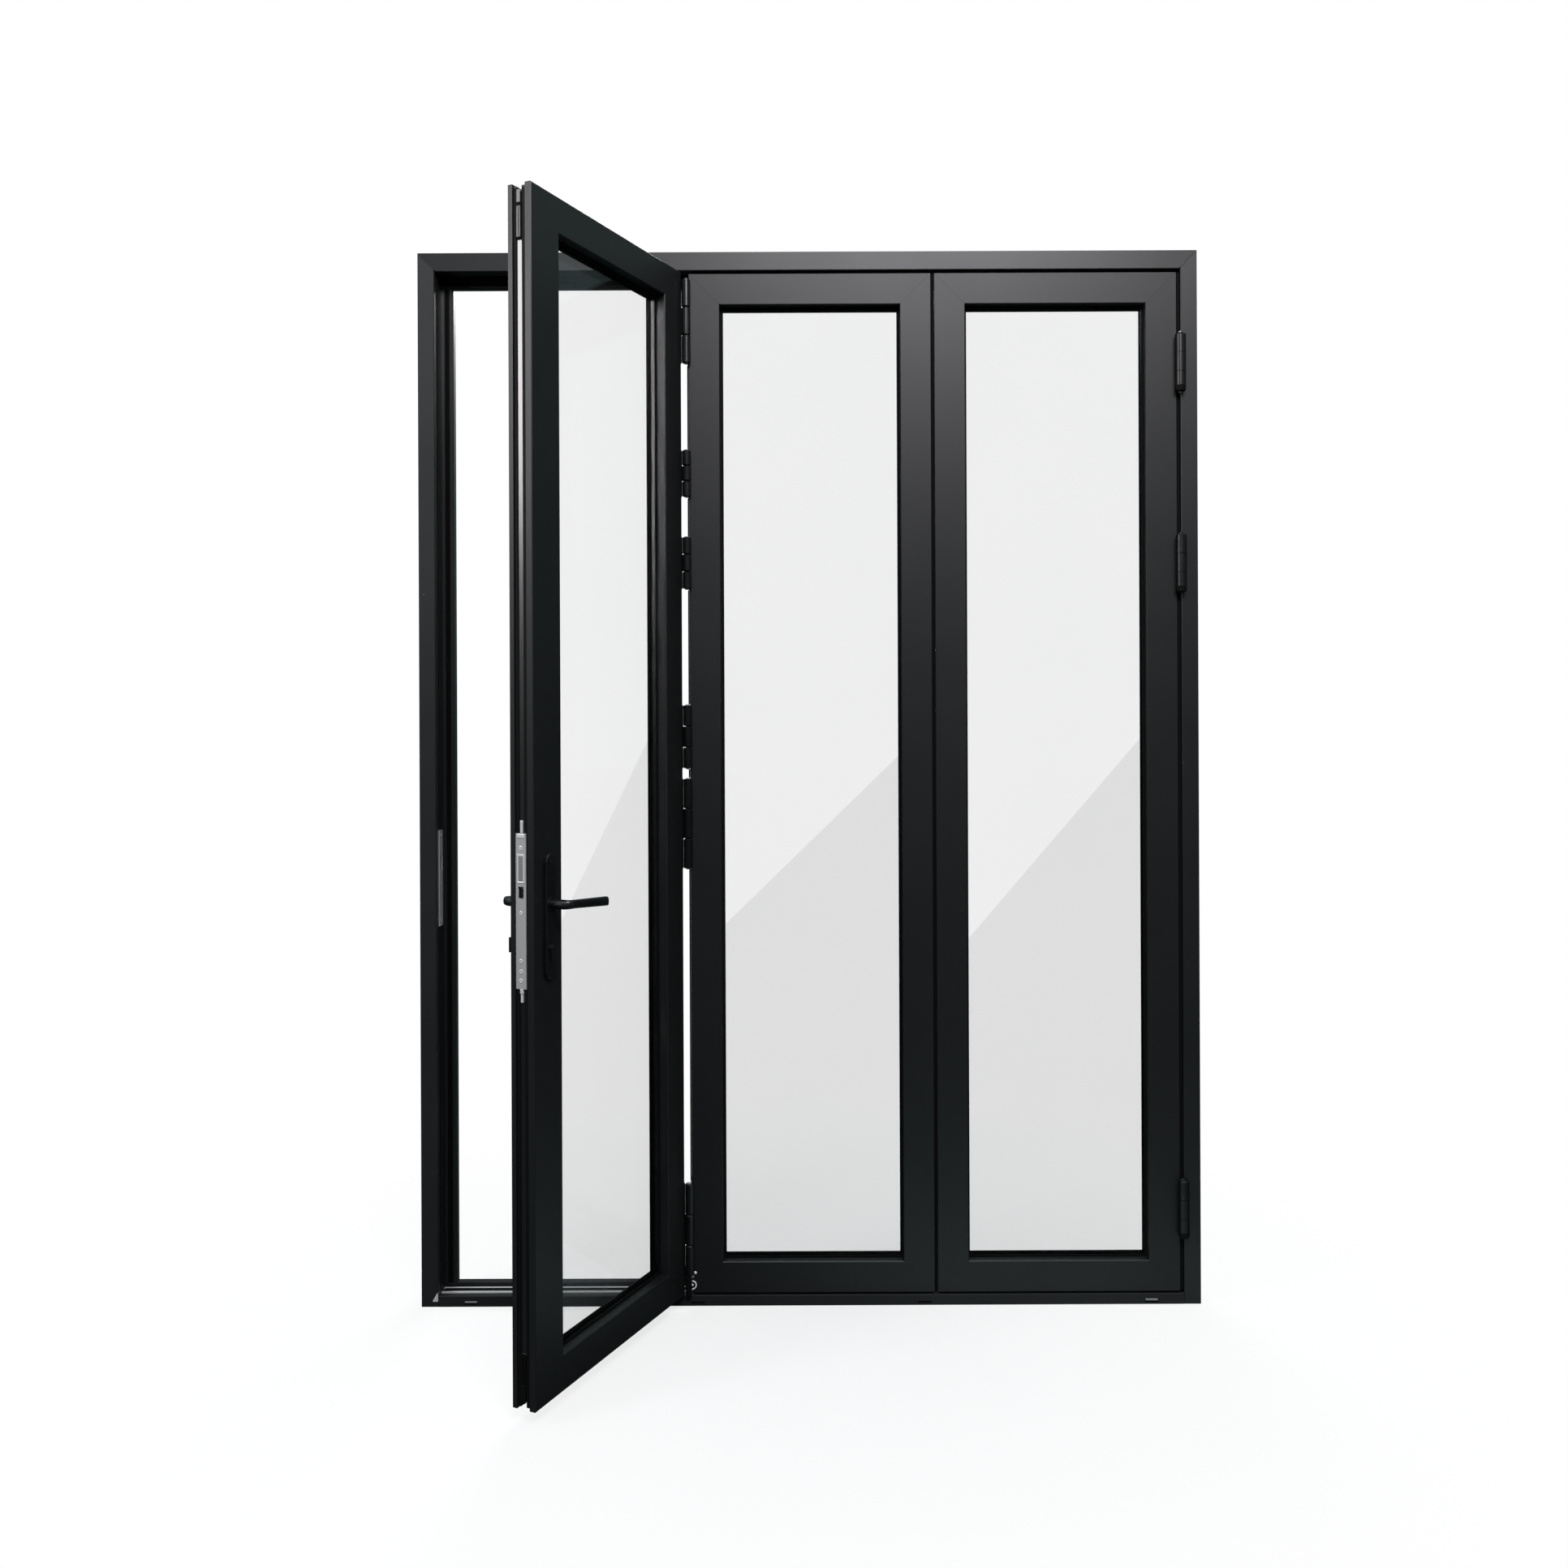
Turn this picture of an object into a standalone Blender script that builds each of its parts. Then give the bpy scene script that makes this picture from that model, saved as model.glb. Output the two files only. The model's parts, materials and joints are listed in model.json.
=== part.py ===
"""Three-leaf bifold glass patio door, seen from outside with its access leaf open.

Metres, +Z up. +X is to the right as seen from outside and +Y points into the
house. The origin lies on the flat underside of the sill, in the middle of its
width and of the frame's depth.
"""

import math

import bmesh
import bpy
from mathutils import Matrix, Vector

# Outer frame
FRAME_WIDTH = 1.775
FRAME_HEIGHT = 2.400
FRAME_DEPTH = 0.080
JAMB_FLANGE = 0.0375
HEAD_FLANGE = 0.042
SILL_FLANGE = 0.024
FLANGE_DEPTH = 0.016
STOP_THICKNESS = 0.019
JAMB_STOP_REACH = 0.065
HEAD_STOP_REACH = 0.061
SILL_STOP_HEIGHT = 0.030
SILL_FLOOR = 0.014
SEAT_GAP = 0.0003
EDGE_CHAMFER = 0.0015
SEAL_GROOVE = 0.004
SEAL_GROOVE_DEPTH = 0.005
SEAL_SETBACK = 0.018
DRAIN_LENGTH = 0.032
DRAIN_HEIGHT = 0.005
DRAIN_DEPTH = 0.006
DRAIN_RISE = 0.004
DRAIN_INSET = 0.075
DRAIN_COUNT = 4

# Tracks
TRACK_WIDTH = 0.026
TRACK_CENTRE = 0.040
TRACK_WALL = 0.003
TRACK_TOP = 0.023
SLOT_MOUTH = 0.012
SLOT_WIDTH = 0.026
SLOT_LIP = 0.006
SLOT_DEPTH = 0.024

# Leaves
ACCESS_WIDTH = 0.560
LEAF_THICKNESS = 0.053
MEMBER_WIDTH = 0.071
LOCK_STILE_WIDTH = 0.090
GAP_LOCK = 0.0105
GAP_SEAM = 0.0085
GAP_FOLD = 0.0065
GAP_JAMB = 0.009
GAP_TOP = 0.007
GAP_BOTTOM = 0.005
EDGE_LIP = 0.004
FRONT_LIP = 0.014
BACK_LIP = 0.010
GROOVE_WIDTH = 0.012
GROOVE_DEPTH = 0.008
GROOVE_CENTRE = 0.030
GLASS_SETBACK = 0.026
GLASS_THICKNESS = 0.020
GASKET_THICKNESS = 0.004
GLASS_BITE = 0.019
BEAD_CHAMFER = 0.003

# Position of the access leaf
OPEN_ANGLE = math.radians(65.5)
AXIS_PROUD = 0.0105

# Hinges
BARREL_RADIUS = 0.010
BARREL_END_CHAMFER = 0.002
HINGE_KNUCKLES = 3
HINGE_PLATE = 0.0025
HINGE_PLATE_DEPTH = 0.036
PIN_RADIUS = 0.004
PIN_CLEARANCE = 0.0004
KNUCKLE_GAP = 0.0010
KNUCKLE_GROOVE = 0.0012
LEAF_BARREL_RADIUS = 0.0112
LEAF_BARREL_PROUD = 0.0118
PLATE_SLIT = 0.0006
BARREL_SEGMENTS = 20
PIN_SEGMENTS = 16
SLOT_SEGMENTS = 6
JAMB_HINGE_LENGTH = 0.129
JAMB_HINGE_LOWER_RISE = 0.128
JAMB_HINGE_MIDDLE_DROP = 0.600
JAMB_HINGE_UPPER_DROP = 0.145
LOWER_HINGE_RISE = 0.045
LOWER_HINGE_LENGTH = 0.209
HANDLE_HINGE_RISE = 0.015
HANDLE_HINGE_LENGTH = 0.203
PULL_HINGE_RISE = 0.242
PULL_HINGE_LENGTH = 0.143
TOP_HINGE_DROP = 0.017
TOP_HINGE_LENGTH = 0.190
MIDDLE_HINGES = ((0.477, 0.117), (0.166, 0.105))

# Handle and lock
SPINDLE_HEIGHT = 0.983
CYLINDER_DROP = 0.084
BACKPLATE_WIDTH = 0.030
BACKPLATE_TOP = 0.097
BACKPLATE_HEIGHT = 0.243
BACKPLATE_THICKNESS = 0.008
NECK_RADIUS = 0.0095
LEVER_BEND = 0.012
LEVER_BEND_STEPS = 6
LEVER_SEGMENTS = 16
LEVER_CROWN = 0.6
NECK_CLEARANCE = 0.0006
NECK_SOCKET = 0.004
LEVER_REACH = 0.055
LEVER_LENGTH = 0.128
LEVER_HEIGHT = 0.0165
LEVER_DEPTH = 0.013
LEVER_DROOP = 0.008
LEVER_TIP_HEIGHT = 0.0185
LEVER_TIP_ROUND = 0.0015
CYLINDER_RADIUS = 0.0085
CYLINDER_TAIL = 0.010
CYLINDER_HEIGHT = 0.033
CYLINDER_PROUD = 0.004
CYLINDER_SEGMENTS = 16
TURN_RADIUS = 0.011
TURN_COLLAR = 0.008
TURN_GRIP_LENGTH = 0.029
TURN_GRIP_THICKNESS = 0.009
TURN_PROUD = 0.036
FACEPLATE_WIDTH = 0.023
FACEPLATE_THICKNESS = 0.003
FACEPLATE_BOTTOM = 0.825
FACEPLATE_TOP = 1.120
LATCH_BOTTOM = 0.997
LATCH_TOP = 1.019
LATCH_WIDTH = 0.012
LOCK_BAR_THICKNESS = 0.006
LOCK_BAR_END_GAP = 0.003
GUIDE_LENGTH = 0.065
GUIDE_END_MARGIN = 0.039
GUIDE_PROUD = 0.002
STRIKE_THICKNESS = 0.0025
STRIKE_WIDTH = 0.026
STRIKE_BOTTOM = 0.864
STRIKE_TOP = 1.084
STRIKE_LATCH_WIDTH = 0.015
STRIKE_LATCH_HEIGHT = 0.032

# Carriers
CARRIER_INSET = 0.030
CARRIER_LENGTH = 0.044
CARRIER_STEM_RADIUS = 0.0045
CARRIER_BODY_WIDTH = 0.012
CARRIER_WHEEL_RADIUS = 0.008
CARRIER_WHEEL_SPREAD = 0.013
CARRIER_PLATE_GAP = 0.0006
GUIDE_CAP_RADIUS = 0.008
GUIDE_CAP_PROUD = 0.004
GUIDE_CAP_INSET = 0.0085
GUIDE_CAP_HEIGHT = 0.052
GUIDE_CAP_RING = 0.0055
GUIDE_CAP_HUB = 0.0030
GUIDE_CAP_GROOVE = 0.0022

# Values that follow from the sizes above
FRONT = -FRAME_DEPTH / 2
LEAF_BOTTOM = SILL_FLANGE + GAP_BOTTOM
LEAF_TOP = FRAME_HEIGHT - HEAD_FLANGE - GAP_TOP
CLEAR_LEFT = -FRAME_WIDTH / 2 + JAMB_FLANGE
CLEAR_RIGHT = FRAME_WIDTH / 2 - JAMB_FLANGE
ACCESS_LEFT = CLEAR_LEFT + GAP_LOCK
ACCESS_RIGHT = ACCESS_LEFT + ACCESS_WIDTH
MIDDLE_LEFT = ACCESS_RIGHT + GAP_SEAM
FOLDING_WIDTH = (CLEAR_RIGHT - GAP_JAMB - GAP_FOLD - MIDDLE_LEFT) / 2
MIDDLE_RIGHT = MIDDLE_LEFT + FOLDING_WIDTH
RIGHT_LEFT = MIDDLE_RIGHT + GAP_FOLD
RIGHT_RIGHT = RIGHT_LEFT + FOLDING_WIDTH
AXIS_X = ACCESS_RIGHT + GAP_SEAM / 2
AXIS_Y = FRONT - AXIS_PROUD
LEAF_BACK = FRONT + LEAF_THICKNESS
SPINDLE_X = ACCESS_LEFT + LOCK_STILE_WIDTH / 2
CYLINDER_LEVEL = SPINDLE_HEIGHT - CYLINDER_DROP

# Finishes, each with its colour, roughness and metalness
POWDER_COAT = ((0.030, 0.031, 0.032, 1.0), 0.45, 0.2)
BLACK_COAT = ((0.012, 0.012, 0.013, 1.0), 0.40, 0.3)
BRUSHED_STEEL = ((0.55, 0.55, 0.54, 1.0), 0.35, 1.0)
BARE_ALUMINIUM = ((0.62, 0.62, 0.60, 1.0), 0.40, 1.0)
CLEAR_GLASS = ((0.86, 0.89, 0.89, 1.0), 0.03, 0.0)


def jamb_hinge_spans():
    """Bottom and top of the hinges at the jamb and at the fold, from the lowest up."""
    low = LEAF_BOTTOM + JAMB_HINGE_LOWER_RISE
    middle = LEAF_TOP - JAMB_HINGE_MIDDLE_DROP
    high = LEAF_TOP - JAMB_HINGE_UPPER_DROP
    length = JAMB_HINGE_LENGTH
    return ((low, low + length), (middle - length, middle), (high - length, high))


def access_hinge_spans():
    """Bottom and top of the hinges of the access leaf, from the lowest up."""
    low = LEAF_BOTTOM + LOWER_HINGE_RISE
    handle = SPINDLE_HEIGHT + HANDLE_HINGE_RISE
    pull = SPINDLE_HEIGHT + PULL_HINGE_RISE
    top = LEAF_TOP - TOP_HINGE_DROP
    spans = [(low, low + LOWER_HINGE_LENGTH), (handle, handle + HANDLE_HINGE_LENGTH),
             (pull, pull + PULL_HINGE_LENGTH)]
    level = pull + PULL_HINGE_LENGTH
    free = top - TOP_HINGE_LENGTH - level - sum(length for share, length in MIDDLE_HINGES)
    for share, length in MIDDLE_HINGES:
        level += free * share
        spans.append((level, level + length))
        level += length
    spans.append((top - TOP_HINGE_LENGTH, top))
    return spans


def clear_scene():
    """Start from an empty scene."""
    for item in list(bpy.data.objects):
        bpy.data.objects.remove(item, do_unlink=True)


def finish(name, look):
    """One sub-part's own material."""
    color, roughness, metallic = look
    material = bpy.data.materials.new(name + "_finish")
    material.use_nodes = True
    shader = material.node_tree.nodes["Principled BSDF"]
    shader.inputs["Base Color"].default_value = color
    shader.inputs["Roughness"].default_value = roughness
    shader.inputs["Metallic"].default_value = metallic
    return material


def add_object(name, build, look=None, parent=None):
    """A finished bmesh as a named object, placed from its parent's point."""
    bmesh.ops.recalc_face_normals(build, faces=build.faces)
    mesh = bpy.data.meshes.new(name)
    build.to_mesh(mesh)
    build.free()
    made = bpy.data.objects.new(name, mesh)
    bpy.context.collection.objects.link(made)
    if look:
        mesh.materials.append(finish(name, look))
    if parent:
        made.parent = parent
        mesh.transform(Matrix.Translation(-parent_origin(parent)))
    return made


def parent_origin(parent):
    """The closed position of a pivot, as the sum of its own and its parents' places."""
    origin = Vector(parent.location)
    if parent.parent:
        origin = origin + parent_origin(parent.parent)
    return origin


def loft(rings):
    """A closed solid through rings that have the same number of points."""
    build = bmesh.new()
    rows = [[build.verts.new(point) for point in ring] for ring in rings]
    count = len(rings[0])
    for low, high in zip(rows, rows[1:]):
        for i in range(count):
            j = (i + 1) % count
            build.faces.new((low[i], low[j], high[j], high[i]))
    build.faces.new(rows[0])
    build.faces.new(rows[-1])
    return build


def member(start, end, inward, profile, mitre_start=1.0, mitre_end=1.0):
    """A bar from corner to corner: profile points are (across, depth) from its outer edge."""
    start = Vector(start)
    end = Vector(end)
    along = (end - start).normalized()
    side = Vector(inward)
    depth = Vector((0.0, 1.0, 0.0))
    first = []
    last = []
    for across, deep in profile:
        offset = side * across + depth * deep
        first.append(start + offset + along * (across * mitre_start + SEAT_GAP / 2))
        last.append(end + offset - along * (across * mitre_end + SEAT_GAP / 2))
    return loft((first, last))


def box(low, high):
    """A closed box between two corners."""
    build = bmesh.new()
    bmesh.ops.create_cube(build, size=1.0)
    for vert in build.verts:
        for axis in range(3):
            vert.co[axis] = low[axis] if vert.co[axis] < 0 else high[axis]
    return build


def disc(radius, start, end, segments=BARREL_SEGMENTS):
    """A round bar between two points."""
    start = Vector(start)
    end = Vector(end)
    turn = (end - start).to_track_quat("Z", "Y")
    rings = []
    for centre in (start, end):
        ring = []
        for i in range(segments):
            angle = 2 * math.pi * i / segments
            ring.append(centre + turn @ Vector((radius * math.cos(angle), radius * math.sin(angle), 0)))
        rings.append(ring)
    return loft(rings)


def helper(name, build):
    """A solid that only shapes another one."""
    made = add_object(name, build)
    made.hide_render = True
    made.display_type = "WIRE"
    return made


def combine(target, build, operation):
    """Join a solid to the target, or cut it out."""
    tool = helper(target.name + "_" + operation.lower() + str(len(target.modifiers)), build)
    if target.parent:
        tool.parent = target.parent
        tool.data.transform(Matrix.Translation(-parent_origin(target.parent)))
    step = target.modifiers.new(operation.lower(), "BOOLEAN")
    step.operation = operation
    step.solver = "EXACT"
    step.object = tool


def smooth(made, angle=35.0):
    """Shade the round faces smooth and keep the corners sharp."""
    made.data.shade_smooth()
    made.data.set_sharp_from_angle(angle=math.radians(angle))
    return made


def frame_profile(flange, reach):
    """Section of a jamb: front flange, rebate and rear stop."""
    stop_front = FRAME_DEPTH - STOP_THICKNESS
    return [
        (0.0, 0.0),
        (flange - EDGE_CHAMFER, 0.0),
        (flange, EDGE_CHAMFER),
        (flange, SEAL_SETBACK),
        (flange - SEAL_GROOVE_DEPTH, SEAL_SETBACK),
        (flange - SEAL_GROOVE_DEPTH, SEAL_SETBACK + SEAL_GROOVE),
        (flange, SEAL_SETBACK + SEAL_GROOVE),
        (flange, stop_front),
        (reach - EDGE_CHAMFER, stop_front),
        (reach, stop_front + EDGE_CHAMFER),
        (reach, FRAME_DEPTH),
        (0.0, FRAME_DEPTH),
    ]


def head_profile():
    """Section of the head: the jamb's form with a T-slot for the top carrier."""
    stop_front = FRAME_DEPTH - STOP_THICKNESS
    mouth = SLOT_MOUTH / 2
    half = SLOT_WIDTH / 2
    lip = HEAD_FLANGE - SLOT_LIP
    root = HEAD_FLANGE - SLOT_DEPTH
    return [
        (0.0, 0.0),
        (HEAD_FLANGE - EDGE_CHAMFER, 0.0),
        (HEAD_FLANGE, EDGE_CHAMFER),
        (HEAD_FLANGE, TRACK_CENTRE - mouth),
        (lip, TRACK_CENTRE - mouth),
        (lip, TRACK_CENTRE - half),
        (root, TRACK_CENTRE - half),
        (root, TRACK_CENTRE + half),
        (lip, TRACK_CENTRE + half),
        (lip, TRACK_CENTRE + mouth),
        (HEAD_FLANGE, TRACK_CENTRE + mouth),
        (HEAD_FLANGE, stop_front),
        (HEAD_STOP_REACH - EDGE_CHAMFER, stop_front),
        (HEAD_STOP_REACH, stop_front + EDGE_CHAMFER),
        (HEAD_STOP_REACH, FRAME_DEPTH),
        (0.0, FRAME_DEPTH),
    ]


def sill_profile():
    """Section of the sill: front flange, track floor and rear upstand."""
    stop_front = FRAME_DEPTH - STOP_THICKNESS
    return [
        (0.0, 0.0),
        (SILL_FLANGE - EDGE_CHAMFER, 0.0),
        (SILL_FLANGE, EDGE_CHAMFER),
        (SILL_FLANGE, FLANGE_DEPTH),
        (SILL_FLOOR, FLANGE_DEPTH),
        (SILL_FLOOR, stop_front),
        (SILL_STOP_HEIGHT - EDGE_CHAMFER, stop_front),
        (SILL_STOP_HEIGHT, stop_front + EDGE_CHAMFER),
        (SILL_STOP_HEIGHT, FRAME_DEPTH),
        (0.0, FRAME_DEPTH),
    ]


def add_frame():
    """Head, jambs and sill."""
    half = FRAME_WIDTH / 2
    top = FRAME_HEIGHT
    head = member((-half, FRONT, top), (half, FRONT, top), (0, 0, -1), head_profile())
    add_object("head", head, POWDER_COAT)
    jamb = frame_profile(JAMB_FLANGE, JAMB_STOP_REACH)
    left = member((-half, FRONT, 0), (-half, FRONT, top), (1, 0, 0), jamb, mitre_start=0.0)
    add_object("left_jamb", left, POWDER_COAT)
    right = member((half, FRONT, 0), (half, FRONT, top), (-1, 0, 0), jamb, mitre_start=0.0)
    add_object("right_jamb", right, POWDER_COAT)
    add_sill()
    add_bottom_track()


def add_sill():
    """The sill runs between the jambs, with its rear upstand cut back to clear their stops."""
    inner = FRAME_WIDTH / 2 - JAMB_FLANGE
    notch = JAMB_STOP_REACH - JAMB_FLANGE + SEAT_GAP
    bar = member((-inner, FRONT, 0), (inner, FRONT, 0), (0, 0, 1), sill_profile(), 0.0, 0.0)
    sill = add_object("sill", bar, POWDER_COAT)
    stop_front = FRONT + FRAME_DEPTH - STOP_THICKNESS - SEAT_GAP
    for side in (-1, 1):
        ends = sorted((side * (inner - notch), side * (inner + notch)))
        cut = box((ends[0], stop_front, -SILL_STOP_HEIGHT), (ends[1], FRAME_DEPTH, 2 * SILL_STOP_HEIGHT))
        combine(sill, cut, "DIFFERENCE")
    for k in range(DRAIN_COUNT):
        x = (inner - DRAIN_INSET) * (2 * k / (DRAIN_COUNT - 1) - 1)
        outline = round_slot(x, DRAIN_RISE + DRAIN_HEIGHT / 2, DRAIN_LENGTH, DRAIN_HEIGHT)
        rings = [[(px, y, pz) for px, pz in outline] for y in (FRONT - DRAIN_DEPTH, FRONT + DRAIN_DEPTH)]
        combine(sill, loft(rings), "DIFFERENCE")


def round_slot(centre_x, centre_z, length, width, upright=False):
    """Outline in X and Z with round ends, level or upright."""
    radius = width / 2
    reach = length / 2 - radius
    points = []
    for side in (1, -1):
        for i in range(SLOT_SEGMENTS + 1):
            angle = math.pi * i / SLOT_SEGMENTS - math.pi / 2
            along = side * (reach + radius * math.cos(angle))
            across = side * radius * math.sin(angle)
            if upright:
                points.append((centre_x - across, centre_z + along))
            else:
                points.append((centre_x + along, centre_z + across))
    return points


def add_bottom_track():
    """A bright channel with two rails, laid on the floor of the sill."""
    inner = FRAME_WIDTH / 2 - JAMB_FLANGE - SEAT_GAP
    floor = SILL_FLOOR + SEAT_GAP
    low = TRACK_CENTRE - TRACK_WIDTH / 2
    high = TRACK_CENTRE + TRACK_WIDTH / 2
    profile = [
        (floor, low),
        (floor, high),
        (TRACK_TOP, high),
        (TRACK_TOP, high - TRACK_WALL),
        (floor + TRACK_WALL, high - TRACK_WALL),
        (floor + TRACK_WALL, low + TRACK_WALL),
        (TRACK_TOP, low + TRACK_WALL),
        (TRACK_TOP, low),
    ]
    track = member((-inner, FRONT, 0), (inner, FRONT, 0), (0, 0, 1), profile, 0.0, 0.0)
    add_object("bottom_track", track, BARE_ALUMINIUM)


def leaf_profile(width=MEMBER_WIDTH):
    """Section of a leaf member: lips and hardware groove outside, glass rebate inside."""
    groove_low = GROOVE_CENTRE - GROOVE_WIDTH / 2
    groove_high = GROOVE_CENTRE + GROOVE_WIDTH / 2
    groove_floor = EDGE_LIP + GROOVE_DEPTH
    rebate = width - GLASS_BITE
    nose = GLASS_SETBACK - GASKET_THICKNESS
    return [
        (EDGE_CHAMFER, 0.0),
        (width - EDGE_CHAMFER, 0.0),
        (width, EDGE_CHAMFER),
        (width, nose),
        (rebate, nose),
        (rebate, LEAF_THICKNESS),
        (0.0, LEAF_THICKNESS),
        (0.0, LEAF_THICKNESS - BACK_LIP),
        (EDGE_LIP, LEAF_THICKNESS - BACK_LIP),
        (EDGE_LIP, groove_high),
        (groove_floor, groove_high),
        (groove_floor, groove_low),
        (EDGE_LIP, groove_low),
        (EDGE_LIP, FRONT_LIP),
        (0.0, FRONT_LIP),
        (0.0, EDGE_CHAMFER),
    ]


def bead_profile():
    """Section of the inside glazing bead: points are (past the edge of the glass opening, depth)."""
    rebate = SEAT_GAP - GLASS_BITE
    seat = GLASS_SETBACK + GLASS_THICKNESS + SEAT_GAP
    return [
        (rebate, seat),
        (0.0, seat),
        (0.0, LEAF_THICKNESS - BEAD_CHAMFER),
        (-BEAD_CHAMFER, LEAF_THICKNESS),
        (rebate, LEAF_THICKNESS),
    ]


def add_leaf(name, span, stiles, widths=(MEMBER_WIDTH, MEMBER_WIDTH), pivot=None):
    """Two stiles and two rails with mitred corners, a glass unit and its bead."""
    left, right = span
    low = LEAF_BOTTOM
    high = LEAF_TOP
    for label, width, x, inward in zip(stiles, widths, span, (1, -1)):
        full = name + "_" + label
        mitre = MEMBER_WIDTH / width
        bar = member((x, FRONT, low), (x, FRONT, high), (inward, 0, 0), leaf_profile(width), mitre, mitre)
        add_object(full, bar, POWDER_COAT, pivot)
    mitres = [width / MEMBER_WIDTH for width in widths]
    for label, z, inward in (("top_rail", high, -1), ("bottom_rail", low, 1)):
        full = name + "_" + label
        bar = member((left, FRONT, z), (right, FRONT, z), (0, 0, inward), leaf_profile(), *mitres)
        add_object(full, bar, POWDER_COAT, pivot)
    opening = (left + widths[0], right - widths[1], low + MEMBER_WIDTH, high - MEMBER_WIDTH)
    add_glass(name, opening, pivot)
    add_bead(name, opening, pivot)


def add_glass(name, opening, pivot):
    """The sealed glass unit, standing in the rebates."""
    left, right, low, high = opening
    edge = GLASS_BITE - SEAT_GAP
    front = FRONT + GLASS_SETBACK
    pane = box((left - edge, front, low - edge), (right + edge, front + GLASS_THICKNESS, high + edge))
    add_object(name + "_glass", pane, CLEAR_GLASS, pivot)


def add_bead(name, opening, pivot):
    """One ring of bead behind the glass."""
    left, right, low, high = opening
    build = bmesh.new()
    rings = []
    corners = ((left, low, 1, 1), (right, low, -1, 1), (right, high, -1, -1), (left, high, 1, -1))
    for x, z, to_x, to_z in corners:
        ring = []
        for across, deep in bead_profile():
            ring.append(build.verts.new((x + to_x * across, FRONT + deep, z + to_z * across)))
        rings.append(ring)
    count = len(rings[0])
    for here, there in zip(rings, rings[1:] + rings[:1]):
        for i in range(count):
            j = (i + 1) % count
            build.faces.new((here[i], here[j], there[j], there[i]))
    add_object(name + "_glazing_bead", build, POWDER_COAT, pivot)


def barrel_outline(centre, radius, plates, reach, toward, slit=0.0):
    """Plan of a hinge barrel whose plates reach back into a seam, with a slit between a pair of them."""
    low, high = plates
    start = math.asin(high / radius)
    end = 2 * math.pi + math.asin(low / radius)
    points = [(low, reach)]
    if slit:
        root = LEAF_BARREL_RADIUS + slit
        points += [(-slit / 2, reach), (-slit / 2, root), (slit / 2, root), (slit / 2, reach)]
    points.append((high, reach))
    for i in range(BARREL_SEGMENTS + 1):
        angle = start + (end - start) * i / BARREL_SEGMENTS
        points.append((radius * math.sin(angle), radius * math.cos(angle)))
    return [(centre[0] + x, centre[1] + toward * y) for x, y in points]


def closed_hinge(centre, plates, reach, toward, span):
    """A hinge at a closed seam: grooves part its knuckles, and both ends of the barrel are chamfered."""
    bottom, top = span
    radius = LEAF_BARREL_RADIUS
    pitch = (top - bottom) / HINGE_KNUCKLES
    levels = [(bottom, radius - BARREL_END_CHAMFER), (bottom + BARREL_END_CHAMFER, radius)]
    for k in range(1, HINGE_KNUCKLES):
        z = bottom + pitch * k
        levels.append((z - KNUCKLE_GAP, radius))
        levels.append((z - KNUCKLE_GAP / 2, radius - KNUCKLE_GROOVE))
        levels.append((z + KNUCKLE_GAP / 2, radius - KNUCKLE_GROOVE))
        levels.append((z + KNUCKLE_GAP, radius))
    levels += [(top - BARREL_END_CHAMFER, radius), (top, radius - BARREL_END_CHAMFER)]
    rings = []
    for z, size in levels:
        outline = barrel_outline(centre, size, plates, reach, toward, PLATE_SLIT)
        rings.append([(x, y, z) for x, y in outline])
    return loft(rings)


def add_closed_hinges(label, x, gap, face, toward):
    """Three hinges in a closed seam, with their barrels proud of one side."""
    half = gap / 2 - SEAT_GAP
    centre = (x, face - toward * LEAF_BARREL_PROUD)
    for level, span in zip(("lower", "middle", "upper"), jamb_hinge_spans()):
        name = label + "_" + level
        build = closed_hinge(centre, (-half, half), LEAF_BARREL_PROUD + HINGE_PLATE_DEPTH, toward, span)
        smooth(add_object(name, build, BLACK_COAT))


def knuckle(bottom, top, side):
    """One knuckle of an access hinge with the web to its plate."""
    inset = HINGE_PLATE / 4
    outer = GAP_SEAM / 2 - SEAT_GAP - inset
    inner = GAP_SEAM / 2 - SEAT_GAP - HINGE_PLATE + inset
    plates = tuple(sorted((side * inner, side * outer)))
    reach = AXIS_PROUD + HINGE_PLATE_DEPTH / 2
    small = BARREL_RADIUS - BARREL_END_CHAMFER
    levels = ((bottom, small), (bottom + BARREL_END_CHAMFER, BARREL_RADIUS),
              (top - BARREL_END_CHAMFER, BARREL_RADIUS), (top, small))
    rings = []
    for z, radius in levels:
        outline = barrel_outline((AXIS_X, AXIS_Y), radius, plates, reach, 1)
        rings.append([(x, y, z) for x, y in outline])
    return loft(rings)


def hinge_plate(bottom, top, side):
    """The plate of an access hinge, flat on the edge of its leaf."""
    outer = GAP_SEAM / 2 - SEAT_GAP
    xs = sorted((AXIS_X + side * (outer - HINGE_PLATE), AXIS_X + side * outer))
    return box((xs[0], FRONT + SEAT_GAP, bottom), (xs[1], FRONT + HINGE_PLATE_DEPTH, top))


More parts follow.
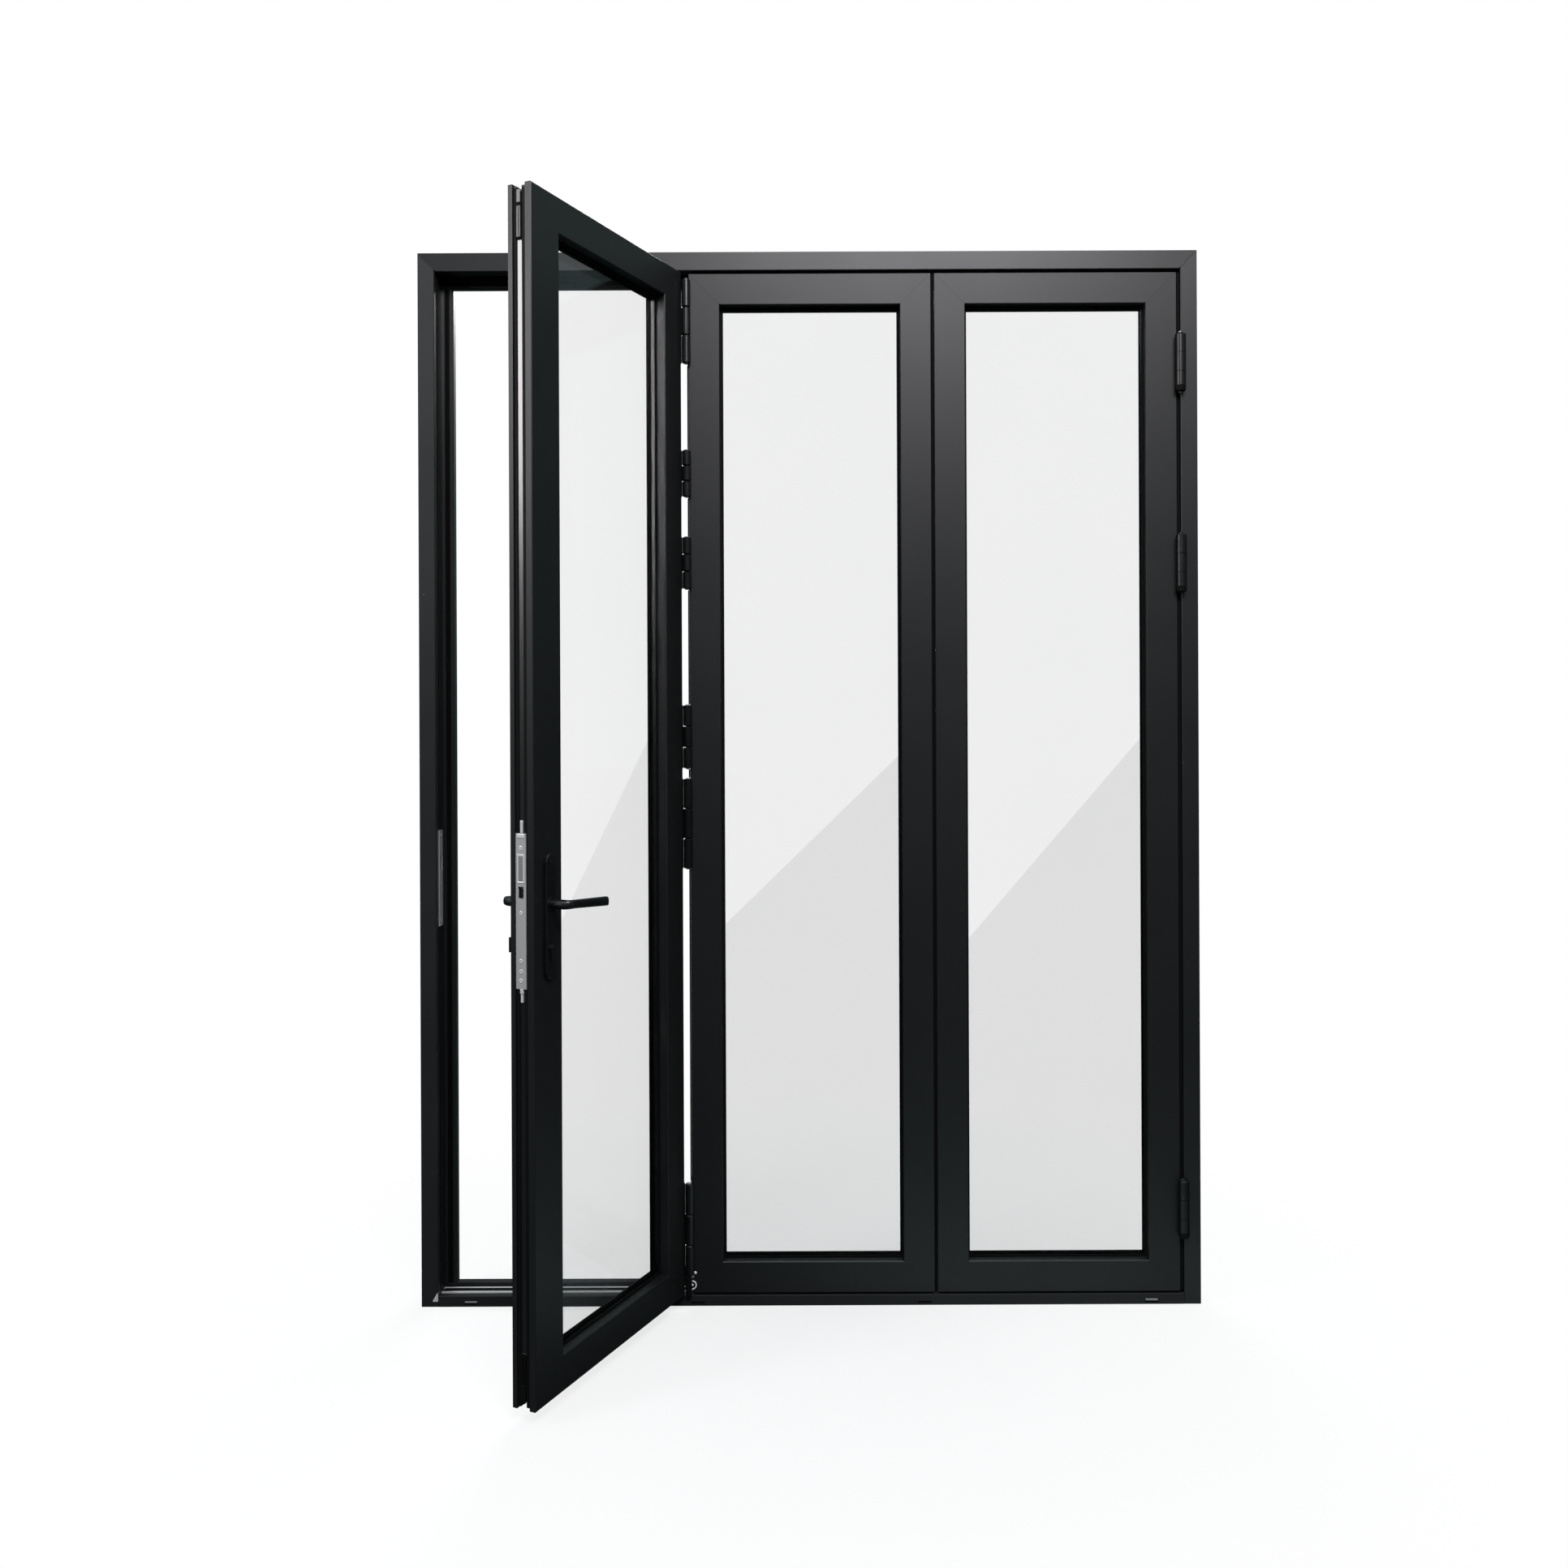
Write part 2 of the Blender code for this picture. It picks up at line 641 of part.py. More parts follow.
def add_access_hinges(pivot):
    """Hinges of two fixed knuckles and a pin, with a moving knuckle between them."""
    for i, (bottom, top) in enumerate(access_hinge_spans()):
        third = (top - bottom) / HINGE_KNUCKLES
        low_end = bottom + third
        high_start = top - third
        name = "access_hinge_" + str(i + 1)
        fixed = add_object(name + "_fixed", hinge_plate(bottom, top, 1), BLACK_COAT)
        combine(fixed, knuckle(bottom, low_end - KNUCKLE_GAP / 2, 1), "UNION")
        combine(fixed, knuckle(high_start + KNUCKLE_GAP / 2, top, 1), "UNION")
        pin_low = (AXIS_X, AXIS_Y, low_end - third / 2)
        pin_high = (AXIS_X, AXIS_Y, high_start + third / 2)
        pin = disc(PIN_RADIUS, pin_low, pin_high, PIN_SEGMENTS)
        combine(fixed, pin, "UNION")
        plate = hinge_plate(bottom, top, -1)
        moving = add_object(name + "_moving", plate, BLACK_COAT, pivot)
        combine(moving, knuckle(low_end + KNUCKLE_GAP / 2, high_start - KNUCKLE_GAP / 2, -1), "UNION")
        bore_low = (AXIS_X, AXIS_Y, low_end)
        bore_high = (AXIS_X, AXIS_Y, high_start)
        bore = disc(PIN_RADIUS + PIN_CLEARANCE, bore_low, bore_high, PIN_SEGMENTS)
        combine(moving, bore, "DIFFERENCE")
        smooth(fixed)
        smooth(moving)


def add_strike_plate():
    """The keep on the lock jamb, with an opening for the latch."""
    left = CLEAR_LEFT + SEAT_GAP
    centre = FRONT + GROOVE_CENTRE
    plate = box((left, centre - STRIKE_WIDTH / 2, STRIKE_BOTTOM),
                (left + STRIKE_THICKNESS, centre + STRIKE_WIDTH / 2, STRIKE_TOP))
    made = add_object("strike_plate", plate, BRUSHED_STEEL)
    level = (LATCH_BOTTOM + LATCH_TOP) / 2
    half = STRIKE_LATCH_WIDTH / 2
    rise = STRIKE_LATCH_HEIGHT / 2
    hole = box((left - STRIKE_THICKNESS, centre - half, level - rise),
               (left + 2 * STRIKE_THICKNESS, centre + half, level + rise))
    combine(made, hole, "DIFFERENCE")


def add_top_carrier(x, centre):
    """A hanger in the head slot: body, two rollers on the lips of the slot, and a stem to the leaf."""
    half = CARRIER_LENGTH / 2
    lip_top = FRAME_HEIGHT - HEAD_FLANGE + SLOT_LIP
    inner = SLOT_WIDTH / 2 - SEAT_GAP
    axle = lip_top + SEAT_GAP + CARRIER_WHEEL_RADIUS
    side = CARRIER_BODY_WIDTH / 2
    body = box((x - half, centre - side, axle - side), (x + half, centre + side, axle + side))
    carrier = add_object("top_carrier", body, BARE_ALUMINIUM)
    for offset in (-CARRIER_WHEEL_SPREAD, CARRIER_WHEEL_SPREAD):
        near = (x + offset, centre - inner, axle)
        far = (x + offset, centre + inner, axle)
        roller = disc(CARRIER_WHEEL_RADIUS, near, far)
        combine(carrier, roller, "UNION")
    stem = disc(CARRIER_STEM_RADIUS, (x, centre, LEAF_TOP + SEAT_GAP), (x, centre, axle))
    combine(carrier, stem, "UNION")
    smooth(carrier)


def add_bottom_carrier(x, centre):
    """A guide under the leaf: a plate above the rails and two upright rollers between them."""
    half = CARRIER_LENGTH / 2
    side = TRACK_WIDTH / 2
    body = box((x - half, centre - side, TRACK_TOP + CARRIER_PLATE_GAP),
               (x + half, centre + side, LEAF_BOTTOM - SEAT_GAP))
    carrier = add_object("bottom_carrier", body, BARE_ALUMINIUM)
    floor = SILL_FLOOR + TRACK_WALL + 2 * SEAT_GAP
    radius = TRACK_WIDTH / 2 - TRACK_WALL - SEAT_GAP
    middle = (TRACK_TOP + CARRIER_PLATE_GAP + LEAF_BOTTOM) / 2
    for offset in (-CARRIER_WHEEL_SPREAD / 2 - radius / 2, CARRIER_WHEEL_SPREAD / 2 + radius / 2):
        roller = disc(radius, (x + offset, centre, floor), (x + offset, centre, middle))
        combine(carrier, roller, "UNION")
    smooth(carrier)


def add_guide_cap():
    """The round bright cap beside the foot of the seam: a rim, a groove and a hub."""
    x = MIDDLE_LEFT + GUIDE_CAP_INSET
    back = FRONT - SEAT_GAP
    front = FRONT - GUIDE_CAP_PROUD
    floor = front + GUIDE_CAP_GROOVE
    rings = []
    for radius, y in ((GUIDE_CAP_RADIUS, back), (GUIDE_CAP_RADIUS, front), (GUIDE_CAP_RING, front),
                      (GUIDE_CAP_RING, floor), (GUIDE_CAP_HUB, floor), (GUIDE_CAP_HUB, front)):
        ring = []
        for i in range(BARREL_SEGMENTS):
            angle = 2 * math.pi * i / BARREL_SEGMENTS
            ring.append((x + radius * math.cos(angle), y, GUIDE_CAP_HEIGHT + radius * math.sin(angle)))
        rings.append(ring)
    smooth(add_object("bottom_guide_cap", loft(rings), BRUSHED_STEEL))


def add_carriers():
    """What guides the folding leaves in the head and on the sill."""
    centre = FRONT + TRACK_CENTRE
    x = MIDDLE_LEFT + CARRIER_INSET
    add_top_carrier(x, centre)
    add_bottom_carrier(x, centre)
    add_guide_cap()


def add_faceplate(pivot):
    """The lock faceplate on the free edge, with a window for the latch."""
    back = ACCESS_LEFT + EDGE_LIP - SEAT_GAP
    centre = FRONT + GROOVE_CENTRE
    plate = box((back - FACEPLATE_THICKNESS, centre - FACEPLATE_WIDTH / 2, FACEPLATE_BOTTOM),
                (back, centre + FACEPLATE_WIDTH / 2, FACEPLATE_TOP))
    made = add_object("lock_faceplate", plate, BRUSHED_STEEL, pivot)
    window = box((back - 2 * FACEPLATE_THICKNESS, centre - LATCH_WIDTH / 2, LATCH_BOTTOM),
                 (back + FACEPLATE_THICKNESS, centre + LATCH_WIDTH / 2, LATCH_TOP))
    combine(made, window, "DIFFERENCE")


def lock_bar(low, high, guide_low, guide_high):
    """A flat bar in the hardware groove, proud of it along its guide."""
    floor = ACCESS_LEFT + EDGE_LIP + GROOVE_DEPTH - SEAT_GAP
    centre = FRONT + GROOVE_CENTRE
    half = GROOVE_WIDTH / 2 - SEAT_GAP
    flat = floor - LOCK_BAR_THICKNESS
    proud = ACCESS_LEFT + EDGE_LIP - GUIDE_PROUD
    outline = [(floor, low), (floor, high), (flat, high), (flat, guide_high), (proud, guide_high),
               (proud, guide_low), (flat, guide_low), (flat, low)]
    return loft([[(x, y, z) for x, z in outline] for y in (centre - half, centre + half)])


def add_lock_bars(pivot):
    """Upper and lower lock bars, each with its guide near the corner of the leaf."""
    mitre = EDGE_LIP + GROOVE_DEPTH + LOCK_BAR_END_GAP
    low = FACEPLATE_TOP - FACEPLATE_THICKNESS
    high = LEAF_TOP - mitre
    guide_high = LEAF_TOP - GUIDE_END_MARGIN
    build = lock_bar(low, high, guide_high - GUIDE_LENGTH, guide_high)
    add_object("upper_lock_bar", build, BARE_ALUMINIUM, pivot)
    low = LEAF_BOTTOM + mitre
    high = FACEPLATE_BOTTOM + FACEPLATE_THICKNESS
    guide_low = LEAF_BOTTOM + GUIDE_END_MARGIN
    build = lock_bar(low, high, guide_low, guide_low + GUIDE_LENGTH)
    add_object("lower_lock_bar", build, BARE_ALUMINIUM, pivot)


def add_backplate(name, pivot, face, outward):
    """A narrow handle plate with round ends and a socket for the lever's neck."""
    low = SPINDLE_HEIGHT + BACKPLATE_TOP - BACKPLATE_HEIGHT
    high = SPINDLE_HEIGHT + BACKPLATE_TOP
    rings = []
    for proud, shrink in ((SEAT_GAP, 0.0), (BACKPLATE_THICKNESS - EDGE_CHAMFER, 0.0),
                          (BACKPLATE_THICKNESS, EDGE_CHAMFER)):
        length = high - low - 2 * shrink
        outline = round_slot(SPINDLE_X, (low + high) / 2, length, BACKPLATE_WIDTH - 2 * shrink, True)
        rings.append([(x, face + outward * proud, z) for x, z in outline])
    plate = smooth(add_object(name, loft(rings), BLACK_COAT, pivot))
    surface = face + outward * BACKPLATE_THICKNESS
    socket = disc(NECK_RADIUS + NECK_CLEARANCE, (SPINDLE_X, surface - outward * NECK_SOCKET, SPINDLE_HEIGHT),
                  (SPINDLE_X, surface + outward * NECK_SOCKET, SPINDLE_HEIGHT))
    combine(plate, socket, "DIFFERENCE")
    return surface


def lever_section(centre, turn, outward, depth, height, crown):
    """A rounded section across the lever, after its neck has turned by an angle."""
    points = []
    for i in range(LEVER_SEGMENTS):
        angle = 2 * math.pi * i / LEVER_SEGMENTS
        c = math.cos(angle)
        s = math.sin(angle)
        across = depth / 2 * math.copysign(abs(c) ** crown, c)
        points.append((centre[0] + across * math.cos(turn), centre[1] - outward * across * math.sin(turn),
                       centre[2] + height / 2 * math.copysign(abs(s) ** crown, s)))
    return points


def add_lever(name, pivot, surface, outward):
    """A lever handle in one sweep: round neck, bend, and a flat arm that droops a little to its end."""
    foot = surface - outward * (NECK_SOCKET - SEAT_GAP)
    arm = surface - outward * BACKPLATE_THICKNESS + outward * (LEVER_REACH - LEVER_DEPTH / 2)
    corner = arm - outward * LEVER_BEND
    neck = 2 * NECK_RADIUS
    rings = [lever_section((SPINDLE_X, foot, SPINDLE_HEIGHT), 0.0, outward, neck, neck, 1.0)]
    for k in range(LEVER_BEND_STEPS + 1):
        share = k / LEVER_BEND_STEPS
        turn = share * math.pi / 2
        centre = (SPINDLE_X + LEVER_BEND * (1 - math.cos(turn)),
                  corner + outward * LEVER_BEND * math.sin(turn), SPINDLE_HEIGHT)
        depth = neck + (LEVER_DEPTH - neck) * share
        height = neck + (LEVER_HEIGHT - neck) * share
        rings.append(lever_section(centre, turn, outward, depth, height, 1.0 + (LEVER_CROWN - 1.0) * share))
    tip = SPINDLE_X + LEVER_LENGTH
    for x, shrink in ((tip - LEVER_TIP_ROUND, 0.0), (tip, 2 * LEVER_TIP_ROUND)):
        centre = (x, arm, SPINDLE_HEIGHT - LEVER_DROOP)
        depth = LEVER_DEPTH - shrink
        height = LEVER_TIP_HEIGHT - shrink
        rings.append(lever_section(centre, math.pi / 2, outward, depth, height, LEVER_CROWN))
    smooth(add_object(name, loft(rings), BLACK_COAT, pivot))


def add_key_cylinder(pivot, surface):
    """Keyhole profile of the lock cylinder, standing out of the outside plate."""
    centre_z = CYLINDER_LEVEL
    half = CYLINDER_TAIL / 2
    bottom = centre_z + CYLINDER_RADIUS - CYLINDER_HEIGHT
    start = math.asin(half / CYLINDER_RADIUS)
    outline = [(SPINDLE_X + half, bottom), (SPINDLE_X - half, bottom)]
    for i in range(CYLINDER_SEGMENTS + 1):
        angle = math.pi + start + (2 * math.pi - 2 * start) * i / CYLINDER_SEGMENTS
        outline.append((SPINDLE_X + CYLINDER_RADIUS * math.sin(angle),
                        centre_z + CYLINDER_RADIUS * math.cos(angle)))
    rings = [[(x, surface - proud, z) for x, z in outline] for proud in (SEAT_GAP, CYLINDER_PROUD)]
    smooth(add_object("key_cylinder", loft(rings), BLACK_COAT, pivot))


def add_thumb_turn(pivot, surface):
    """The turn on the inside plate: collar and flat grip."""
    z = CYLINDER_LEVEL
    collar = disc(TURN_RADIUS, (SPINDLE_X, surface + SEAT_GAP, z), (SPINDLE_X, surface + TURN_COLLAR, z))
    turn = smooth(add_object("thumb_turn", collar, BLACK_COAT, pivot))
    outer = surface - BACKPLATE_THICKNESS + TURN_PROUD
    grip = box((SPINDLE_X - TURN_GRIP_THICKNESS / 2, surface + TURN_COLLAR / 2, z - TURN_GRIP_LENGTH / 2),
               (SPINDLE_X + TURN_GRIP_THICKNESS / 2, outer, z + TURN_GRIP_LENGTH / 2))
    combine(turn, grip, "UNION")


def add_pivot(name, place, parent=None):
    """An empty on a joint axis."""
    pivot = bpy.data.objects.new(name, None)
    bpy.context.collection.objects.link(pivot)
    pivot.location = place
    if parent:
        pivot.parent = parent
        pivot.location = Vector(place) - parent_origin(parent)
    return pivot


def add_hardware(pivot):
    """Everything fastened to the access leaf that isn't a hinge."""
    add_faceplate(pivot)
    add_lock_bars(pivot)
    outside = add_backplate("outside_handle_plate", pivot, FRONT, -1)
    inside = add_backplate("inside_handle_plate", pivot, LEAF_BACK, 1)
    lever_pivot = add_pivot("lever_pivot", (SPINDLE_X, FRONT, SPINDLE_HEIGHT), pivot)
    add_lever("outside_lever", lever_pivot, outside, -1)
    add_lever("inside_lever", lever_pivot, inside, 1)
    add_key_cylinder(pivot, outside)
    turn_pivot = add_pivot("thumb_turn_pivot", (SPINDLE_X, LEAF_BACK, CYLINDER_LEVEL), pivot)
    add_thumb_turn(turn_pivot, inside)


def main():
    clear_scene()
    add_frame()
    pivot = add_pivot("access_leaf_pivot", (AXIS_X, AXIS_Y, 0.0))
    add_leaf("access_leaf", (ACCESS_LEFT, ACCESS_RIGHT), ("lock_stile", "hinge_stile"),
             (LOCK_STILE_WIDTH, MEMBER_WIDTH), pivot)
    add_leaf("middle_leaf", (MIDDLE_LEFT, MIDDLE_RIGHT), ("left_stile", "right_stile"))
    add_leaf("right_leaf", (RIGHT_LEFT, RIGHT_RIGHT), ("left_stile", "right_stile"))
    add_access_hinges(pivot)
    add_closed_hinges("fold_hinge", (MIDDLE_RIGHT + RIGHT_LEFT) / 2, GAP_FOLD, LEAF_BACK, -1)
    add_closed_hinges("jamb_hinge", (RIGHT_RIGHT + CLEAR_RIGHT) / 2, GAP_JAMB, FRONT, 1)
    add_strike_plate()
    add_carriers()
    add_hardware(pivot)
    pivot.rotation_euler = (0.0, 0.0, OPEN_ANGLE)


main()
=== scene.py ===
import json
import math

import bpy
from mathutils import Matrix, Vector


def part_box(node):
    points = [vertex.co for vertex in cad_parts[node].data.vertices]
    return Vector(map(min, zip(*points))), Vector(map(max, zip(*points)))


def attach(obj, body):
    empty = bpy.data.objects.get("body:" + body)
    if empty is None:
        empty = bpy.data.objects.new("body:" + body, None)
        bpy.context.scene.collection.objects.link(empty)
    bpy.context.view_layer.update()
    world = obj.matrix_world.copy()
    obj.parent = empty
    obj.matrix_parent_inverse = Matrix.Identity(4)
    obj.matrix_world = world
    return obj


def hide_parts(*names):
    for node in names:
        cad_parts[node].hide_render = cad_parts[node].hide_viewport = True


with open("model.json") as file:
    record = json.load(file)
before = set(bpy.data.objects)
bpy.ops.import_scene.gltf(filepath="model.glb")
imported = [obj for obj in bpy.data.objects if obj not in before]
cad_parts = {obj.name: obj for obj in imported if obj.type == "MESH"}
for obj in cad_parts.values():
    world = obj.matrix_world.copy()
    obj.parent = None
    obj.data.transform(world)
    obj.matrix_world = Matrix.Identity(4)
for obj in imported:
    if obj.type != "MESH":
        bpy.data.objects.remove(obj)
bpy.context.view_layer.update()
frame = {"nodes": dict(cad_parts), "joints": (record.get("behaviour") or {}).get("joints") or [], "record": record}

# Three-leaf bifold patio door: finishes, seals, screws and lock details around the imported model.
# Lengths are in metres, and the outside of the door faces -Y. Pieces of the access leaf are built
# as if the leaf were closed, and settle() turns them to where the leaf stands.

# The camera, from the photograph's 1932 px frame
FRAME_PX = 1932
FOCAL_PX = 1623
PRINCIPAL_X_PX = 1000
PRINCIPAL_Y_PX = 890
SENSOR_MM = 36.0
CAMERA_X = 0.006
CAMERA_HEIGHT = 1.328
CAMERA_DISTANCE = 3.000
CAMERA_ROLL = 0.0042

JOINTS = {joint["name"]: joint for joint in frame["joints"]}
SWING = JOINTS["access_leaf_swing"]
OPEN_ANGLE = -math.radians(SWING["range_deg"][0])
AXIS = Vector(SWING["pos_m"])
LEAF_BODY = "access_leaf"
LEAVES = (("access_leaf", LEAF_BODY), ("middle_leaf", "root"), ("right_leaf", "root"))

# Sizes that the model has in its own source
EDGE_LIP = 0.004
FRONT_LIP = 0.014
BACK_LIP = 0.010
LEAF_THICKNESS = 0.053
GASKET_THICKNESS = 0.004
GLASS_BITE = 0.0187
GROOVE_CENTRE = 0.030
GROOVE_WIDTH = 0.012
SEAL_SETBACK = 0.018
SEAL_GROOVE = 0.004
STOP_THICKNESS = 0.019
SPINDLE_HEIGHT = 0.983
LATCH_SPAN = (0.997, 1.019)
SEAT = 0.0004

# Rounding of edges, from the finest strips to the boldest blocks
HAIR_EDGE = 0.0003
THIN_EDGE = 0.0004
FINE_EDGE = 0.0006
EDGE = 0.0008
BOLD_EDGE = 0.0012
ROUND_EDGE = 0.0014

# Glass: gaskets, panes and their spacer
GASKET_REACH = 0.0050
GASKET_TUCK = 0.006
INSIDE_GASKET_REACH = 0.0045
INSIDE_GASKET_THICKNESS = 0.004
PANE_THICKNESS = 0.004
SPACER_INSET = 0.005
SPACER_WIDTH = 0.010
SPACER_PLAY = 0.0001

# The painted reflection on each pane, a paler tint above a slanted line: the line's height at the pane's left
# edge, and its slope
PAINTED_REFLECTION_PLACES = {"access_leaf": (0.877, 1.08), "middle_leaf": (0.841, 0.966), "right_leaf": (0.802, 1.158)}
PAINTED_REFLECTION_SHARPNESS = 180.0
# The tints below and above each pane's painted reflection. The open leaf's pane is tinted lighter than the closed
# ones: painted light on one and the same glass.
CLOSED_PANE_PAINTED_TINTS = (0.772, 0.898)
OPEN_PANE_PAINTED_TINTS = (0.862, 0.975)
GLASS_UNEVENNESS = 0.008

# Seals and strips
SEAL_RADIUS = 0.0022
BULB_ROOT = 0.003
SEAL_PLAY = 0.001
HEAD_SEAL_RISE = 0.0105
SEAM_SEAL_REACH = 0.0034
BREAK_GAP = 0.0005
BREAK_PROUD = 0.0009
BREAK_INSET = 0.007

# Screws, and the heights and radii of those on the lock's faceplate
SCREW_RADIUS = 0.0034
FACEPLATE_SCREWS = ((1.092, 0.0042), (0.969, 0.0036), (0.878, 0.0036), (0.858, 0.0042), (0.841, 0.0042))
PANEL_SPAN = (1.0260, 1.0800)

# Frame
DRAIN_INSET = 0.075
DRAIN_HEIGHT = 0.0105
FRAME_TOP_LINE = 0.042
SLEEVE_FOOT = 0.030

# Light
LAMP_COLOUR = (1.0, 0.965, 1.0)
SURROUND_COLOUR = (0.74, 1.0, 1.02, 1.0)
WHITE = (1.0, 1.0, 1.0, 1.0)

# A powder coat's dark and light tone, as shares of its level: a little bluish
COAT_DARK = (1.0, 1.06, 1.12)
COAT_LIGHT = (1.65, 1.72, 1.78)
CLEAR_GLASS = {"metallic": 0.0, "roughness": 0.0, "ior": 1.25, "transmission_weight": 1.0,
               "specular_ior_level": 0.40}


def leaf_turn():
    """Carries a piece from the closed leaf to where the access leaf stands."""
    return Matrix.Translation(AXIS) @ Matrix.Rotation(OPEN_ANGLE, 4, "Z") @ Matrix.Translation(-AXIS)


def closed_box(node):
    """Corners of a node of the access leaf, as it would stand with the leaf closed."""
    back = leaf_turn().inverted()
    points = [back @ vertex.co for vertex in frame["nodes"][node].data.vertices]
    low = Vector([min(point[axis] for point in points) for axis in range(3)])
    high = Vector([max(point[axis] for point in points) for axis in range(3)])
    return low, high


class Value:
    """A socket of a material's nodes: Python's operators on it add Math nodes."""

    def __init__(self, paint, socket):
        self.paint = paint
        self.socket = socket

    def maths(self, operation, *others):
        return self.paint.add("ShaderNodeMath", {"operation": operation}, (self,) + others)[0]

    def __add__(self, other):
        return self.maths("ADD", other)

    def __radd__(self, other):
        return self.maths("ADD", other)

    def __sub__(self, other):
        return self.maths("SUBTRACT", other)

    def __rsub__(self, other):
        return (self * -1.0) + other

    def __mul__(self, other):
        return self.maths("MULTIPLY", other)

    def clamped(self):
        return self.maths("MAXIMUM", 0.0).maths("MINIMUM", 1.0)


class Paint:
    """One material: its Principled shader and the nodes that feed it."""

    def __init__(self, name, **values):
        self.material = bpy.data.materials.new(name)
        self.material.use_nodes = True
        self.tree = self.material.node_tree
        self.shader = self.tree.nodes["Principled BSDF"]
        self.set(**values)

    def set(self, **values):
        for name, value in values.items():
            self.feed(self.shader.inputs[name.replace("_", " ").title().replace("Ior", "IOR")], value)

    def feed(self, socket, value):
        if isinstance(value, Value):
            self.tree.links.new(value.socket, socket)
        else:
            socket.default_value = value

    def add(self, kind, settings=None, values=()):
        node = self.tree.nodes.new(kind)
        for name, value in (settings or {}).items():
            setattr(node, name, value)
        pairs = values.items() if isinstance(values, dict) else enumerate(values)
        for key, value in pairs:
            self.feed(node.inputs[key], value)
        return [Value(self, output) for output in node.outputs]

    def place(self, scale):
        """Object coordinates, stretched by a scale."""
        coordinates = self.add("ShaderNodeTexCoord")[3]
        return self.add("ShaderNodeMapping", {}, {"Vector": coordinates, "Scale": scale})[0]

    def noise(self, scale, detail, stretch=(1.0, 1.0, 1.0)):
        place = self.place(stretch)
        return self.add("ShaderNodeTexNoise", {}, {"Vector": place, "Scale": scale, "Detail": detail})[0]

    def between(self, share, low, high):
        """A colour between two colours."""
        return self.add("ShaderNodeMix", {"data_type": "RGBA"}, {0: share, 6: low, 7: high})[2]

    def bump(self, height, strength, distance):
        bumped = self.add("ShaderNodeBump", {}, {"Height": height, "Strength": strength, "Distance": distance})
        self.set(normal=bumped[0])


def grey(level, warm=0.0):
    """A grey of one level, a little warmer where asked."""
    return (level * (1 + warm), level, level * (1 - warm), 1.0)


def powder_coat_finish(name, level, roughness, shine):
    """Satin charcoal powder coat with fine orange peel."""
    paint = Paint(name, metallic=0.0, specular_ior_level=shine)
    cloud = paint.noise(scale=5.0, detail=3.0)
    grain = paint.noise(scale=1500.0, detail=2.0)
    peel = paint.noise(scale=420.0, detail=2.0)
    tone = (cloud * 0.6 + grain * 0.4).clamped()
    dark, light = [tuple(level * share for share in shares) + (1.0,) for shares in (COAT_DARK, COAT_LIGHT)]
    paint.set(base_color=paint.between(tone, dark, light), roughness=roughness + cloud * 0.06 + grain * 0.06)
    paint.bump(peel * 0.7 + grain * 0.3, strength=0.22, distance=0.0004)
    return paint.material


def black_coat_finish(name, roughness):
    """Black coated hinges and handles."""
    paint = Paint(name, metallic=0.0, specular_ior_level=0.5)
    cloud = paint.noise(scale=40.0, detail=3.0)
    grain = paint.noise(scale=2200.0, detail=2.0)
    paint.set(base_color=paint.between(cloud, (0.003, 0.003, 0.0033, 1.0), (0.007, 0.007, 0.0073, 1.0)),
              roughness=roughness + cloud * 0.10)
    paint.bump(grain, strength=0.15, distance=0.0002)
    return paint.material


def brushed_steel_finish(name, low, high, worn, metallic):
    """Stainless steel brushed along its length."""
    paint = Paint(name, metallic=metallic)
    lines = paint.noise(scale=1.0, detail=4.0, stretch=(1400.0, 1400.0, 24.0))
    cloud = paint.noise(scale=22.0, detail=3.0)
    tone = (lines * 0.7 + cloud * 0.3).clamped()
    paint.set(base_color=paint.between(tone, grey(low, warm=0.01), grey(high, warm=0.015)),
              roughness=worn + lines * 0.16)
    paint.bump(lines, strength=0.25, distance=0.0002)
    return paint.material


def bare_aluminium_finish(name, along, low, high, roughness, metallic):
    """Extruded aluminium with its fine die lines."""
    stretch = (1100.0, 1100.0, 5.0) if along == "z" else (5.0, 1100.0, 1100.0)
    paint = Paint(name, metallic=metallic)
    lines = paint.noise(scale=1.0, detail=3.0, stretch=stretch)
    cloud = paint.noise(scale=14.0, detail=3.0)
    tone = (lines * 0.6 + cloud * 0.4).clamped()
    paint.set(base_color=paint.between(tone, grey(low, warm=0.01), grey(high, warm=0.012)),
              roughness=roughness + lines * 0.14)
    paint.bump(lines, strength=0.2, distance=0.0002)
    return paint.material


def moulded_finish(name, shine, grain, colours, roughness, spread, strength, distance):
    """Rubber, polyamide or nylon: one pattern in its colour, its roughness and its surface."""
    paint = Paint(name, metallic=0.0, specular_ior_level=shine)
    pattern = paint.noise(**grain)
    paint.set(base_color=paint.between(pattern, *colours), roughness=roughness + pattern * spread)
    paint.bump(pattern, strength, distance)
    return paint.material


def plain_glass_finish():
    """Clear inner pane, with the faint unevenness of float glass."""
    paint = Paint("clear inner glass", **CLEAR_GLASS)
    film = paint.noise(scale=3.0, detail=3.0)
    paint.set(base_color=paint.between(film, (0.985, 0.990, 0.990, 1.0), WHITE))
    return paint.material


